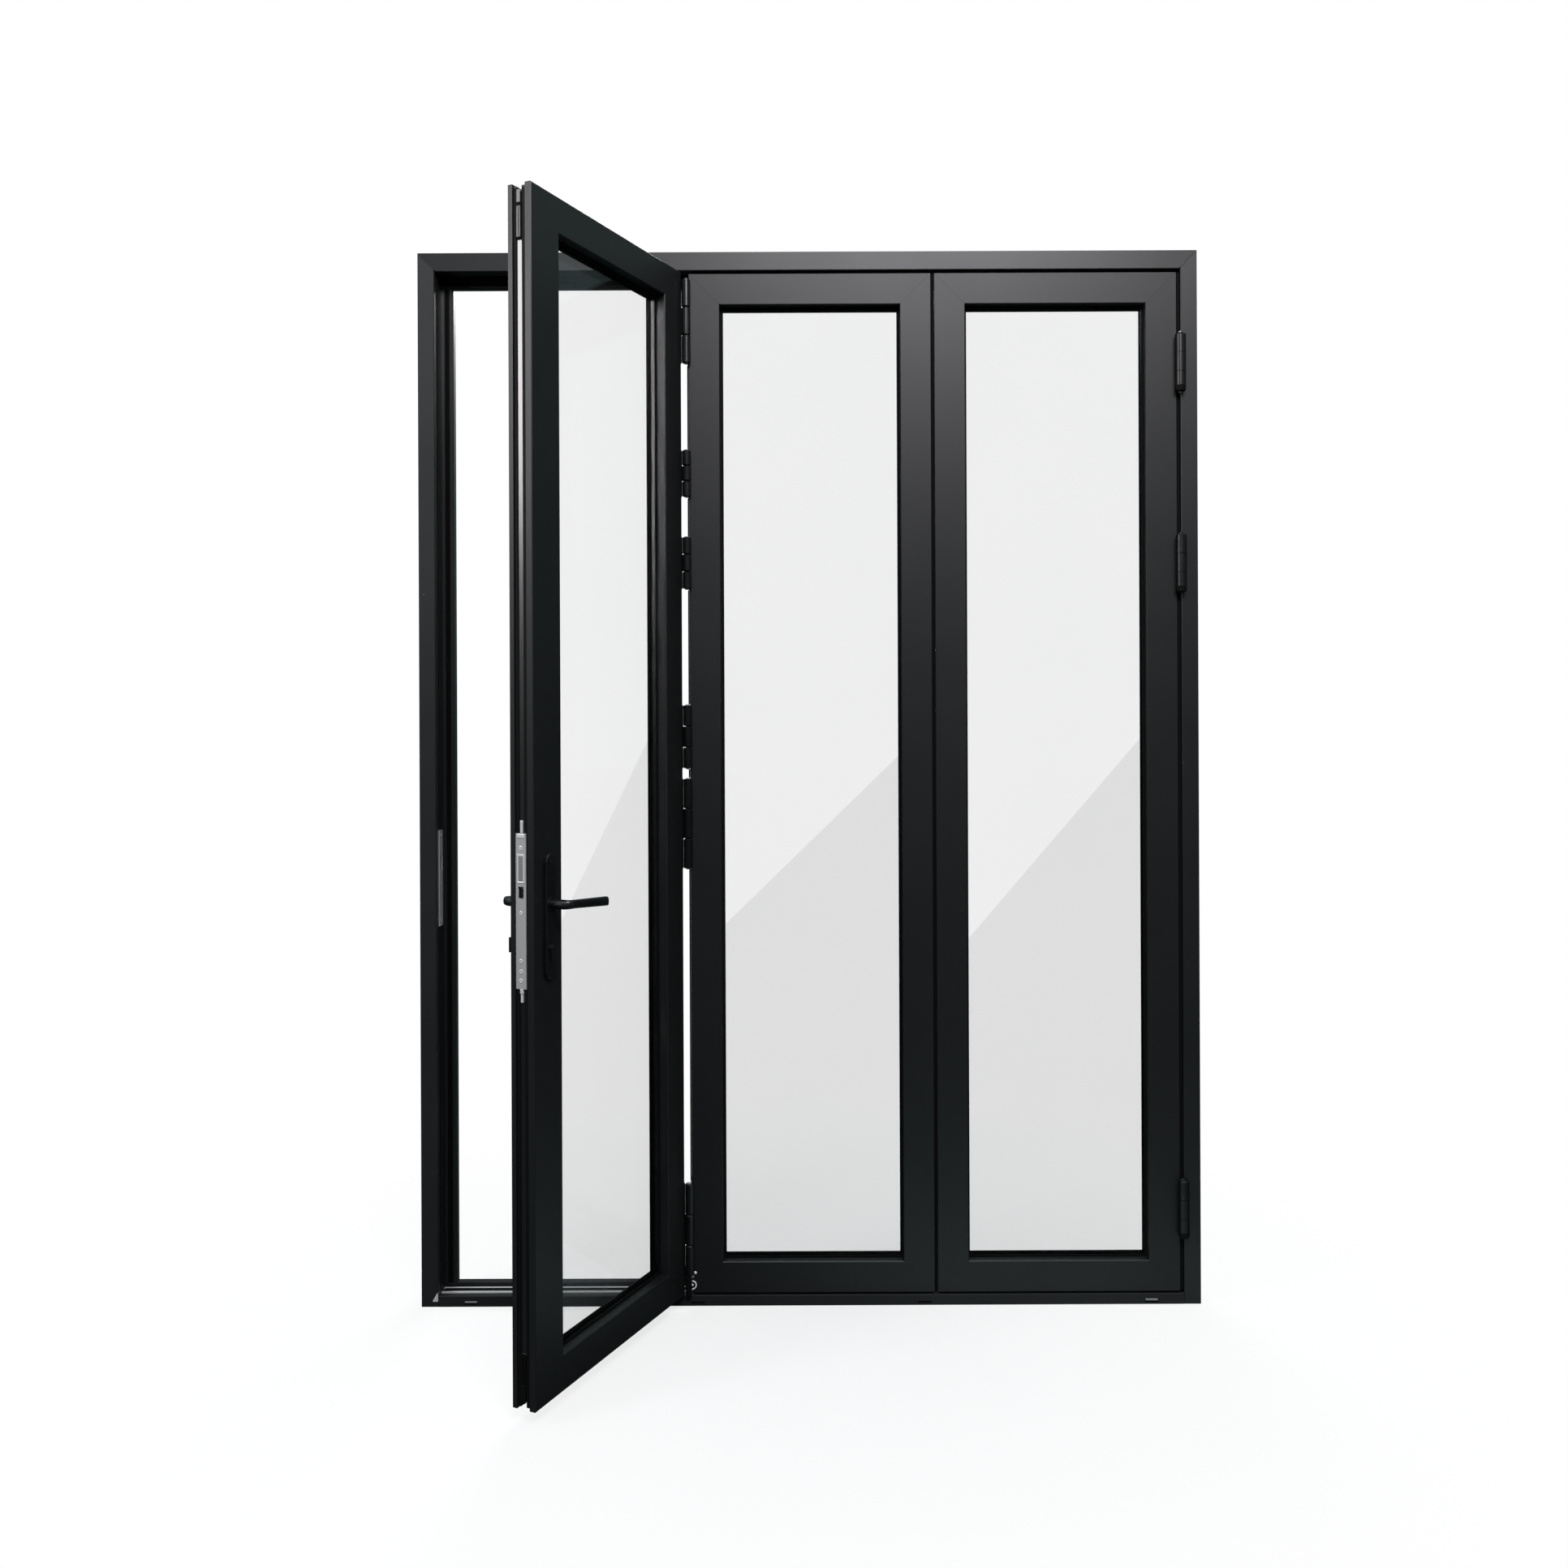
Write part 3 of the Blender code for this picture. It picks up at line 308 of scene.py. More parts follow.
def glass_finish(name, direction, foot, painted_reflection_place, painted_tints):
    """Clear outer pane with a painted reflection: a paler tint above a line that crosses each pane at a slant."""
    paint = Paint("clear outer glass " + name, **CLEAR_GLASS)
    coordinates = paint.add("ShaderNodeTexCoord")[3]
    along = paint.add("ShaderNodeVectorMath", {"operation": "DOT_PRODUCT"},
                      {0: coordinates, 1: tuple(direction)})[1]
    height = paint.add("ShaderNodeSeparateXYZ", {}, {0: coordinates})[2]
    level, slope = painted_reflection_place
    across = (height - level) - (along - foot) * slope
    # Above this slanted line the outer pane is paler: a painted reflection.
    painted_reflection = (across * PAINTED_REFLECTION_SHARPNESS + 0.5).clamped()
    film = paint.noise(scale=3.0, detail=3.0)
    low, high = [paint.between(film, grey(tint - GLASS_UNEVENNESS), grey(tint + GLASS_UNEVENNESS))
                 for tint in painted_tints]
    paint.set(base_color=paint.between(painted_reflection, low, high))
    return paint.material


def floor_finish():
    """Pale matt floor that keeps a soft shadow and runs out into the white background.

    Rays that reach the eye straight or through glass see it pale. All others see a dim floor with
    one brighter patch before the closed leaves, which lights the lower half of the door.
    """
    patch_centre = (0.50, -0.35, 0.0)
    paint = Paint("pale floor", roughness=0.9, specular_ior_level=0.1)
    tree = paint.tree
    white = tree.nodes.new("ShaderNodeEmission")
    rays = {ray.socket.name: ray for ray in paint.add("ShaderNodeLightPath")}
    straight = rays["Is Transmission Ray"] * (1.0 - rays["Diffuse Depth"] - rays["Glossy Depth"])
    seen = rays["Is Camera Ray"].maths("MAXIMUM", straight)
    speckle = paint.noise(scale=30.0, detail=2.0)
    pale = paint.between(speckle, grey(0.90), grey(0.94))
    place = paint.add("ShaderNodeTexCoord")[3]
    apart = paint.add("ShaderNodeVectorMath", {"operation": "DISTANCE"}, {0: place, 1: patch_centre})[1]
    patch = (1.6 - apart * 2.0).clamped()
    bounce = paint.between(patch, (0.045, 0.055, 0.055, 1.0), (0.52, 0.58, 0.58, 1.0))
    paint.set(base_color=paint.between(seen, bounce, pale))
    away = paint.add("ShaderNodeVectorMath", {"operation": "LENGTH"}, {0: place})[1]
    share = (away * 0.20 + 0.68).clamped()
    mixed = tree.nodes.new("ShaderNodeMixShader")
    paint.feed(mixed.inputs[0], seen * share)
    tree.links.new(paint.shader.outputs[0], mixed.inputs[1])
    tree.links.new(white.outputs[0], mixed.inputs[2])
    tree.links.new(mixed.outputs[0], tree.nodes["Material Output"].inputs["Surface"])
    return paint.material


# One charcoal powder coat in five copies: the head's and the leaves' are darker, painted shade; the left jamb's
# and the sill's are lighter, painted light.
FRAME_COAT = powder_coat_finish("charcoal powder coat of the frame", 0.0070, 0.33, 0.50)
HEAD_SHADED_COAT = powder_coat_finish("charcoal powder coat of the head, darker as painted shade", 0.0058, 0.33, 0.45)
LEFT_JAMB_LIT_COAT = powder_coat_finish("charcoal powder coat of the left jamb", 0.0090, 0.33, 0.62)
SILL_LIT_COAT = powder_coat_finish("charcoal powder coat of the sill, lighter as painted light", 0.0150, 0.46, 0.08)
LEAF_SHADED_COAT = powder_coat_finish("charcoal powder coat of the leaves, darker as painted shade", 0.0056, 0.37, 0.45)
BLACK_COAT = black_coat_finish("black hardware coat", 0.30)
GLOSS_BLACK = black_coat_finish("gloss black hinge coat", 0.20)
STEEL = brushed_steel_finish("brushed stainless steel", 0.42, 0.62, 0.34, 0.35)
# Near white with little metal: a painted glint on the guide ring, its hub and the rivets.
GLINT_WHITENED_STEEL = brushed_steel_finish("steel whitened as a painted glint", 0.98, 1.0, 0.14, 0.10)
# Darker steel for the faceplate's panel: painted shade in its recess.
SHADE_DARKENED_STEEL = brushed_steel_finish("steel darkened as painted shade", 0.26, 0.40, 0.40, 0.50)
BRIGHT_STEEL = brushed_steel_finish("bright zinc plated steel", 0.90, 0.98, 0.24, 0.40)
TRACK_ALUMINIUM = bare_aluminium_finish("mill aluminium of the track", "x", 0.88, 0.98, 0.28, 0.25)
# The lock bars' aluminium is far darker than the track's: painted shade.
BAR_SHADE_DARKENED_ALUMINIUM = bare_aluminium_finish("mill aluminium of the lock bars, darkened as painted shade", "z", 0.085, 0.130, 0.22, 1.0)
SPACER_ALUMINIUM = bare_aluminium_finish("anodised aluminium of the glass spacers", "z", 0.05, 0.08, 0.30, 1.0)
DARK_ALUMINIUM = bare_aluminium_finish("dull dark aluminium of the carriers", "z", 0.020, 0.040, 0.42, 1.0)
RUBBER = moulded_finish("black seal rubber", shine=0.12, grain={"scale": 900.0, "detail": 3.0},
                        colours=(grey(0.0012), grey(0.0040)), roughness=0.66, spread=0.14,
                        strength=0.3, distance=0.0002)
PLASTIC = moulded_finish("black polyamide", shine=0.15,
                         grain={"scale": 1.0, "detail": 2.0, "stretch": (900.0, 900.0, 6.0)},
                         colours=(grey(0.0015), grey(0.0045)), roughness=0.55, spread=0.12,
                         strength=0.2, distance=0.0002)
NYLON = moulded_finish("grey nylon", shine=0.4, grain={"scale": 120.0, "detail": 3.0},
                       colours=((0.16, 0.16, 0.15, 1.0), (0.24, 0.235, 0.225, 1.0)), roughness=0.42,
                       spread=0.12, strength=0.1, distance=0.0003)
INNER_GLASS = plain_glass_finish()


def clear_selection():
    """Nothing stays selected before a new piece is started."""
    if bpy.context.object and bpy.context.object.mode != "OBJECT":
        bpy.ops.object.mode_set(mode="OBJECT")
    bpy.ops.object.select_all(action="DESELECT")


def settle(piece, name, finish, body="root"):
    """Name a finished piece, bake its place into its mesh and let it ride on its body."""
    clear_selection()
    piece.select_set(True)
    bpy.context.view_layer.objects.active = piece
    for modifier in list(piece.modifiers):
        bpy.ops.object.modifier_apply(modifier=modifier.name)
    bpy.ops.object.transform_apply(location=True, rotation=True, scale=True)
    if body == LEAF_BODY:
        piece.data.transform(leaf_turn())
    piece.name = name
    piece.data.name = name
    piece.data.materials.clear()
    piece.data.materials.append(finish)
    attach(piece, body)
    return piece


def start_block(low, high):
    """A cube primitive at its place and size."""
    clear_selection()
    centre = [(low[axis] + high[axis]) / 2 for axis in range(3)]
    bpy.ops.mesh.primitive_cube_add(size=1.0, location=centre)
    block = bpy.context.object
    block.scale = [high[axis] - low[axis] for axis in range(3)]
    bpy.ops.object.transform_apply(location=False, rotation=False, scale=True)
    return block


def start_plate(face, proud, sunk, sides, span):
    """A cube primitive on the free edge of the leaf: how far it stands out and in, its sides and its span."""
    return start_block((face - proud, sides[0], min(span)), (face + sunk, sides[1], max(span)))


def start_round(radius, start, end, sides=24):
    """A cylinder primitive between two points."""
    clear_selection()
    start = Vector(start)
    end = Vector(end)
    bpy.ops.mesh.primitive_cylinder_add(vertices=sides, radius=radius, depth=(end - start).length,
                                        location=(start + end) / 2,
                                        rotation=(end - start).to_track_quat("Z", "Y").to_euler())
    piece = bpy.context.object
    bpy.ops.object.transform_apply(location=False, rotation=True, scale=False)
    return piece


def soften(piece, width, segments=2):
    """Round a piece's edges."""
    bevel = piece.modifiers.new("bevel", "BEVEL")
    bevel.width = width
    bevel.segments = segments
    bevel.limit_method = "ANGLE"
    bevel.angle_limit = math.radians(35.0)
    return piece


def pick_faces(piece, normal, share=0.9):
    """Select the faces that look one way, and go into edit mode."""
    bpy.ops.object.mode_set(mode="OBJECT")
    normal = Vector(normal)
    for vertex in piece.data.vertices:
        vertex.select = False
    for edge in piece.data.edges:
        edge.select = False
    for polygon in piece.data.polygons:
        polygon.select = polygon.normal.dot(normal) > share
    bpy.ops.object.mode_set(mode="EDIT")
    bpy.ops.mesh.select_mode(type="FACE")


def inset_face(piece, outward, *steps):
    """Inset the face that looks one way, once for each pair of thickness and depth."""
    pick_faces(piece, outward)
    for thickness, depth in steps:
        bpy.ops.mesh.inset(thickness=thickness, depth=depth)
    bpy.ops.object.mode_set(mode="OBJECT")


def cut_off(piece, point, outward):
    """Cut away what lies beyond a plane, and close the cut."""
    bpy.ops.object.mode_set(mode="EDIT")
    bpy.ops.mesh.select_all(action="SELECT")
    bpy.ops.mesh.bisect(plane_co=point, plane_no=outward, use_fill=True, clear_outer=True)
    bpy.ops.object.mode_set(mode="OBJECT")
    return piece


def join(pieces):
    """Several meshes as one piece."""
    clear_selection()
    for piece in pieces:
        bpy.context.view_layer.objects.active = piece
        piece.select_set(True)
        for modifier in list(piece.modifiers):
            bpy.ops.object.modifier_apply(modifier=modifier.name)
    bpy.context.view_layer.objects.active = pieces[0]
    bpy.ops.object.join()
    return bpy.context.object


def rod(radius, start, end, edge=EDGE, sides=24):
    """A round rod with rounded ends, not yet named."""
    return soften(start_round(radius, start, end, sides), edge)


def open_ring(radius, width, start, end, sides=32):
    """A flat ring: a short cylinder with its middle cut out."""
    ring = start_round(radius, start, end, sides)
    direction = (Vector(end) - Vector(start)).normalized()
    for way in (1, -1):
        pick_faces(ring, direction * way)
        bpy.ops.mesh.inset(thickness=width, depth=0.0)
        bpy.ops.mesh.delete(type="FACE")
    bpy.ops.mesh.select_mode(type="EDGE")
    bpy.ops.mesh.select_all(action="DESELECT")
    bpy.ops.mesh.select_non_manifold()
    bpy.ops.mesh.bridge_edge_loops()
    bpy.ops.mesh.select_all(action="SELECT")
    bpy.ops.mesh.normals_make_consistent(inside=False)
    bpy.ops.object.mode_set(mode="OBJECT")
    return ring


def dome(radius, place, outward):
    """A round-headed rivet: a ball cut off flat behind its middle."""
    behind = 0.0006
    clear_selection()
    bpy.ops.mesh.primitive_uv_sphere_add(segments=20, ring_count=12, radius=radius, location=place)
    outward = Vector(outward)
    return cut_off(bpy.context.object, tuple(Vector(place) - outward * behind), tuple(-outward))


def screw(place, outward, radius=SCREW_RADIUS):
    """A countersunk screw: a low round head, dished at its rim, with a round socket sunk in it."""
    shank, crown, dish = 0.0012, 0.0005, 0.0002
    rim, land = radius * 0.16, radius * 0.34
    socket_slope, socket_depth = 0.0001, 0.0011
    outward = Vector(outward)
    place = Vector(place)
    head = start_round(radius, place - outward * shank, place + outward * crown, 24)
    pick_faces(head, outward)
    bpy.ops.mesh.inset(thickness=rim, depth=0.0)
    bpy.ops.transform.translate(value=tuple(outward * dish))
    bpy.ops.mesh.inset(thickness=land, depth=0.0)
    bpy.ops.mesh.inset(thickness=socket_slope, depth=-socket_depth)
    bpy.ops.object.mode_set(mode="OBJECT")
    return head


def screws(name, places, outward, finish, body="root", radius=SCREW_RADIUS):
    """A row of screws as one piece."""
    return settle(join([screw(place, outward, radius) for place in places]), name, finish, body)


def ring_strip(low, high, depth_low, depth_high, width):
    """A frame-shaped strip round a glass opening, made from a plane inset and pushed back."""
    clear_selection()
    centre = ((low[0] + high[0]) / 2, depth_low, (low[1] + high[1]) / 2)
    bpy.ops.mesh.primitive_plane_add(size=1.0, location=centre, rotation=(math.pi / 2, 0, 0))
    strip = bpy.context.object
    strip.scale = (high[0] - low[0], high[1] - low[1], 1.0)
    bpy.ops.object.transform_apply(location=True, rotation=True, scale=True)
    bpy.ops.object.mode_set(mode="EDIT")
    bpy.ops.mesh.select_all(action="SELECT")
    bpy.ops.mesh.inset(thickness=width, depth=0.0)
    bpy.ops.mesh.delete(type="FACE")
    bpy.ops.mesh.select_all(action="SELECT")
    bpy.ops.mesh.extrude_region_move(TRANSFORM_OT_translate={"value": (0, depth_high - depth_low, 0)})
    bpy.ops.mesh.select_all(action="SELECT")
    bpy.ops.mesh.normals_make_consistent(inside=False)
    bpy.ops.object.mode_set(mode="OBJECT")
    return strip


def read_box(node, body):
    """Corners of a node, with the access leaf closed."""
    return closed_box(node) if body == LEAF_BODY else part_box(node)


def add_glass_seals():
    """Rubber round each glass unit, outside and inside."""
    for leaf, body in LEAVES:
        low, high = read_box(leaf + "_glass", body)
        outside = (GLASS_BITE - GASKET_TUCK, low.y - GASKET_THICKNESS + SEAT, low.y - SEAT,
                   GASKET_REACH + GASKET_TUCK, 0.001)
        inside = (GLASS_BITE + SEAT, high.y + SEAT, high.y + INSIDE_GASKET_THICKNESS,
                  INSIDE_GASKET_REACH, EDGE)
        for label, (grow, near, far, width, edge) in (("outside", outside), ("inside", inside)):
            strip = ring_strip((low.x + grow, low.z + grow), (high.x - grow, high.z - grow), near, far, width)
            settle(soften(strip, edge), leaf + "_" + label + "_gasket", RUBBER, body)


def add_panes():
    """Each sealed unit as two thin panes with a spacer bar between their edges."""
    for leaf, body in LEAVES:
        low, high = read_box(leaf + "_glass", body)
        direction = Vector((1, 0, 0))
        painted_tints = CLOSED_PANE_PAINTED_TINTS
        # The open leaf's pane takes the lighter tints: painted light.
        if body == LEAF_BODY:
            direction = leaf_turn().to_3x3() @ direction
            painted_tints = OPEN_PANE_PAINTED_TINTS
        foot = min(vertex.co.dot(direction) for vertex in frame["nodes"][leaf + "_glass"].data.vertices)
        front = glass_finish(leaf, direction, foot, PAINTED_REFLECTION_PLACES[leaf], painted_tints)
        for label, near, finish in (("outer", low.y, front), ("inner", high.y - PANE_THICKNESS, INNER_GLASS)):
            pane = start_block((low.x, near, low.z), (high.x, near + PANE_THICKNESS, high.z))
            settle(soften(pane, THIN_EDGE, 1), leaf + "_" + label + "_pane", finish, body)
            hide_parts(leaf + "_glass")
        inset = SPACER_INSET
        spacer = ring_strip((low.x + inset, low.z + inset), (high.x - inset, high.z - inset),
                            low.y + PANE_THICKNESS + SPACER_PLAY, high.y - PANE_THICKNESS - SPACER_PLAY,
                            SPACER_WIDTH)
        settle(soften(spacer, FINE_EDGE), leaf + "_glass_spacer", SPACER_ALUMINIUM, body)
        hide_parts(leaf + "_glass")


def bulb_seal(start, end, toward):
    """A bulb seal along a groove: a round bead drawn out to a flat root on its far side."""
    away = -Vector(toward)
    bead = start_round(SEAL_RADIUS, start, end, 16)
    pick_faces(bead, away, 0.85)
    bpy.ops.mesh.extrude_region_move(TRANSFORM_OT_translate={"value": tuple(away * BULB_ROOT)})
    bpy.ops.object.mode_set(mode="OBJECT")
    return bead


def stop_seal(start, end, outward, across):
    """A seal on a rear stop: a flat base with two round ribs."""
    base_reach, underside, top = 0.0055, 0.0003, 0.0020
    rib_radius, rib_side, rib_rise = 0.0019, 0.0033, 0.0024
    start, end, outward, across = Vector(start), Vector(end), Vector(outward), Vector(across)
    corners = [point + across * side * base_reach + outward * rise
               for point in (start, end) for side in (-1, 1) for rise in (underside, top)]
    low = [min(corner[axis] for corner in corners) for axis in range(3)]
    high = [max(corner[axis] for corner in corners) for axis in range(3)]
    pieces = [soften(start_block(low, high), 0.0005)]
    for side in (-1, 1):
        shift = across * side * rib_side + outward * rib_rise
        pieces.append(start_round(rib_radius, start + shift, end + shift, 14))
    return join(pieces)


def add_frame_seals():
    """Weather seals in the grooves of the jambs, on the rear stops and in the closed seams."""
    jamb_low, jamb_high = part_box("left_jamb")
    leaf_low, leaf_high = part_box("middle_leaf_left_stile")
    front = jamb_low.y
    depth = front + SEAL_SETBACK + SEAL_GROOVE / 2
    rear = jamb_high.y - STOP_THICKNESS
    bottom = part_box("sill")[1].z + SEAL_PLAY
    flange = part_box("bottom_track")[1].x + 0.0003
    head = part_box("head")[0].z
    for side, name in ((-1, "left_jamb"), (1, "right_jamb")):
        bead = side * (flange + SEAL_RADIUS * 0.5)
        seal = bulb_seal((bead, depth, bottom), (bead, depth, leaf_high.z), (-side, 0, 0))
        settle(seal, name + "_bulb_seal", RUBBER)
        x = side * (abs(jamb_high.x) + flange) / 2 + side * SEAL_PLAY
        seal = stop_seal((x, rear, bottom), (x, rear, head - 2 * SEAL_PLAY), (0, -1, 0), (1, 0, 0))
        settle(seal, name + "_stop_seal", RUBBER)
    z = head + HEAD_SEAL_RISE
    end = flange - 2 * SEAL_PLAY
    seal = stop_seal((-end, rear, z), (end, rear, z), (0, -1, 0), (0, 0, 1))
    settle(seal, "head_stop_seal", RUBBER)
    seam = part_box("middle_leaf_right_stile")[1].x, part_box("right_leaf_left_stile")[0].x
    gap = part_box("right_leaf_right_stile")[1].x, flange
    near, far = front + 0.0045, front + 0.0125
    for name, (left, right) in (("fold_seam_seal", seam), ("jamb_seam_seal", gap)):
        shoulder, ridge = (right - left) * 0.28, 0.0012
        strip = start_block((left + SEAT, near, leaf_low.z), (right - SEAT, far, leaf_high.z))
        inset_face(strip, (0, -1, 0), (shoulder, ridge))
        settle(soften(strip, FINE_EDGE), name, RUBBER)


def add_thermal_breaks_and_shade():
    """Black polyamide thermal breaks beside the hardware groove, along the edges of the access leaf and the seam
    beside it; their black also stands in as painted shade on the edge.
    """
    lock = closed_box("access_leaf_lock_stile")[0]
    hinge = closed_box("access_leaf_hinge_stile")[1]
    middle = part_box("middle_leaf_left_stile")[0].x
    groove = GROOVE_CENTRE - GROOVE_WIDTH / 2, GROOVE_CENTRE + GROOVE_WIDTH / 2
    rises = ((FRONT_LIP + BREAK_GAP, groove[0] - BREAK_GAP),
             (groove[1] + BREAK_GAP, LEAF_THICKNESS - BACK_LIP - BREAK_GAP))
    for name, edge, inward, upright, body in (("lock_edge", lock.x, 1, True, LEAF_BODY),
                                              ("hinge_edge", hinge.x, -1, True, LEAF_BODY),
                                              ("seam_edge", middle, 1, True, "root"),
                                              ("bottom_edge", lock.z, 1, False, LEAF_BODY),
                                              ("top_edge", hinge.z, -1, False, LEAF_BODY)):
        first, last = sorted((edge + inward * (EDGE_LIP + SEAT), edge + inward * (EDGE_LIP - BREAK_PROUD)))
        strips = []
        for near, far in rises:
            near, far = lock.y + near, lock.y + far
            if upright:
                low, high = (first, near, lock.z + BREAK_INSET), (last, far, hinge.z - BREAK_INSET)
            else:
                low, high = (lock.x + BREAK_INSET, near, first), (hinge.x - BREAK_INSET, far, last)
            strips.append(soften(start_block(low, high), HAIR_EDGE))
        settle(join(strips), name + "_thermal_break_and_shade", PLASTIC, body)


def add_lock_edge():
    """What shows on the free edge of the access leaf: faceplate parts, latch and rod ends."""
    low, high = closed_box("lock_faceplate")
    middle = (low.y + high.y) / 2
    face = low.x
    out = (-1, 0, 0)
    heads = [screw((face, middle, z), out, radius) for z, radius in FACEPLATE_SCREWS]
    settle(join(heads), "faceplate_screws", BRIGHT_STEEL, LEAF_BODY)
    cap_inset = 0.003
    cap = start_plate(face, proud=0.0012, sunk=0.001, sides=(low.y + cap_inset, high.y - cap_inset),
                      span=(high.z - 0.009, high.z - 0.001))
    settle(soften(cap, 0.0009), "faceplate_top_cap", BRIGHT_STEEL, LEAF_BODY)

    # The rim is bright steel round a darker panel: the panel's darker steel is painted shade in the recess, and
    # the rim reads as a painted highlight line.
    rim_reach, panel_reach, panel_inset = 0.0078, 0.0052, 0.0030
    rim = start_plate(face, proud=0.0009, sunk=0.0005, sides=(middle - rim_reach, middle + rim_reach),
                      span=PANEL_SPAN)
    inset_face(rim, out, (0.0018, 0.0), (0.0004, -0.0006))
    settle(soften(rim, FINE_EDGE), "faceplate_panel_rim", BRIGHT_STEEL, LEAF_BODY)
    panel = start_plate(face, proud=0.0007, sunk=0.0, sides=(middle - panel_reach, middle + panel_reach),
                        span=(PANEL_SPAN[0] + panel_inset, PANEL_SPAN[1] - panel_inset))
    settle(soften(panel, HAIR_EDGE), "faceplate_panel", SHADE_DARKENED_STEEL, LEAF_BODY)

    latch_proud, latch_reach, latch_play = 0.0022, 0.0053, 0.0012
    latch = start_plate(face, proud=latch_proud, sunk=high.x + 0.004 - face,
                        sides=(middle - latch_reach, middle + latch_reach),
                        span=(LATCH_SPAN[0] + latch_play, LATCH_SPAN[1] - latch_play))
    cut_off(latch, (face - latch_proud, middle - 0.001, SPINDLE_HEIGHT), (-0.55, 0.83, 0.0))
    settle(soften(latch, FINE_EDGE), "latch_bolt", BLACK_COAT, LEAF_BODY)

    bar_line = face + 0.0035
    collar_foot = low.z - 0.009
    ends = [rod(radius, (bar_line, middle, start), (bar_line, middle, end))
            for radius, start, end in ((0.0030, high.z + 0.0005, high.z + 0.024),
                                       (0.0042, low.z - 0.0005, collar_foot),
                                       (0.0028, collar_foot, low.z - 0.026))]
    settle(join(ends), "rod_ends", BRIGHT_STEEL, LEAF_BODY)


def add_bar_guides():
    """The guides and end covers of the two lock bars, each pair on a dark seat a little wider than they are:
    painted shade as a dark outline round them.
    """
    for name, finish in (("upper", NYLON), ("lower", PLASTIC)):
        low, high = closed_box(name + "_lock_bar")
        end, toward = (high.z, -1) if name == "upper" else (low.z, 1)
        face = low.x
        sides = low.y + 0.0016, high.y - 0.0016
        # The dark seat is painted shade round the guide and cover.
        seat = start_plate(face, proud=0.0004, sunk=0.001, sides=(low.y - 0.0004, high.y + 0.0004),
                           span=(end + toward * 0.0005, end + toward * 0.0895))
        settle(soften(seat, 0.0002), name + "_guide_shade_outline", RUBBER, LEAF_BODY)
        guide = start_plate(face, proud=0.0010, sunk=0.001, sides=sides,
                            span=(end + toward * 0.0275, end + toward * 0.086))
        inset_face(guide, (-1, 0, 0), (0.0016, 0.0), (0.0004, -0.0006))
        settle(soften(guide, THIN_EDGE), name + "_bar_guide", finish, LEAF_BODY)
        cover = start_plate(face, proud=0.0010, sunk=0.004, sides=sides,
                            span=(end - toward * 0.004, end + toward * 0.0205))
        settle(soften(cover, FINE_EDGE), name + "_end_cover", finish, LEAF_BODY)


def add_handle_details():
    """Neck rings, plate screws and the key slot."""
    screw_inset, ring_radius, ring_width, ring_rise = 0.016, 0.0135, 0.0032, 0.0025
    for side, outward in (("outside", -1), ("inside", 1)):
        low, high = closed_box(side + "_handle_plate")
        middle = (low.x + high.x) / 2
        face = low.y if outward < 0 else high.y
        places = [(middle, face, z) for z in (low.z + screw_inset, high.z - screw_inset)]
        screws(side + "_plate_screws", places, (0, outward, 0), BLACK_COAT, LEAF_BODY)
        ring = open_ring(ring_radius, ring_width, (middle, face, SPINDLE_HEIGHT),
                         (middle, face + outward * ring_rise, SPINDLE_HEIGHT))
        settle(soften(ring, FINE_EDGE), side + "_neck_ring", BLACK_COAT, LEAF_BODY)

    low, high = closed_box("key_cylinder")
    middle = (low.x + high.x) / 2
    face = low.y
    key_line = high.z - 0.0085
    plug_radius, plug_rim, plug_crown = 0.0062, 0.0010, 0.0004
    plug = start_round(plug_radius, (middle, face + 0.0005, key_line), (middle, face - 0.0008, key_line), 28)
    inset_face(plug, (0, -1, 0), (plug_rim, plug_crown))
    settle(soften(plug, HAIR_EDGE), "key_plug", BLACK_COAT, LEAF_BODY)
    # The slot is a dark block standing proud of the plug: painted shade of the keyway.
    half_width, half_height = 0.0005, 0.0040
    slot = start_block((middle - half_width, face - 0.0014, key_line - half_height),
                       (middle + half_width, face + 0.0010, key_line + half_height))
    settle(soften(slot, HAIR_EDGE), "key_slot", RUBBER, LEAF_BODY)


def end_pair(x, y, low, high, radius, proud, edge, sides, sunk=0.001):
    """Two short round ends on one upright line, one at its foot and one at its top."""
    return join([rod(radius, (x, y, end - toward * sunk), (x, y, end + toward * proud), edge, sides)
                 for end, toward in ((low, -1), (high, 1))])


def hinge_painted_shade(x, y, low, high):
    """Two dark strips along the flanks of a jamb hinge's barrel, and a dark cup round its foot: painted shade, the
    barrel's dark outline.
    """
    flank, half_width = 0.0097, 0.0017
    near, far = low.y + 0.0034, low.y + 0.0110
    foot, top = low.z + 0.001, high.z - 0.001
    pieces = [soften(start_block((x + way * flank - half_width, near, foot),
                                 (x + way * flank + half_width, far, top)), FINE_EDGE) for way in (-1, 1)]
    pieces.append(rod(0.0114, (x, y, low.z - 0.0012), (x, y, low.z + 0.0130), ROUND_EDGE, 28))
    return join(pieces)


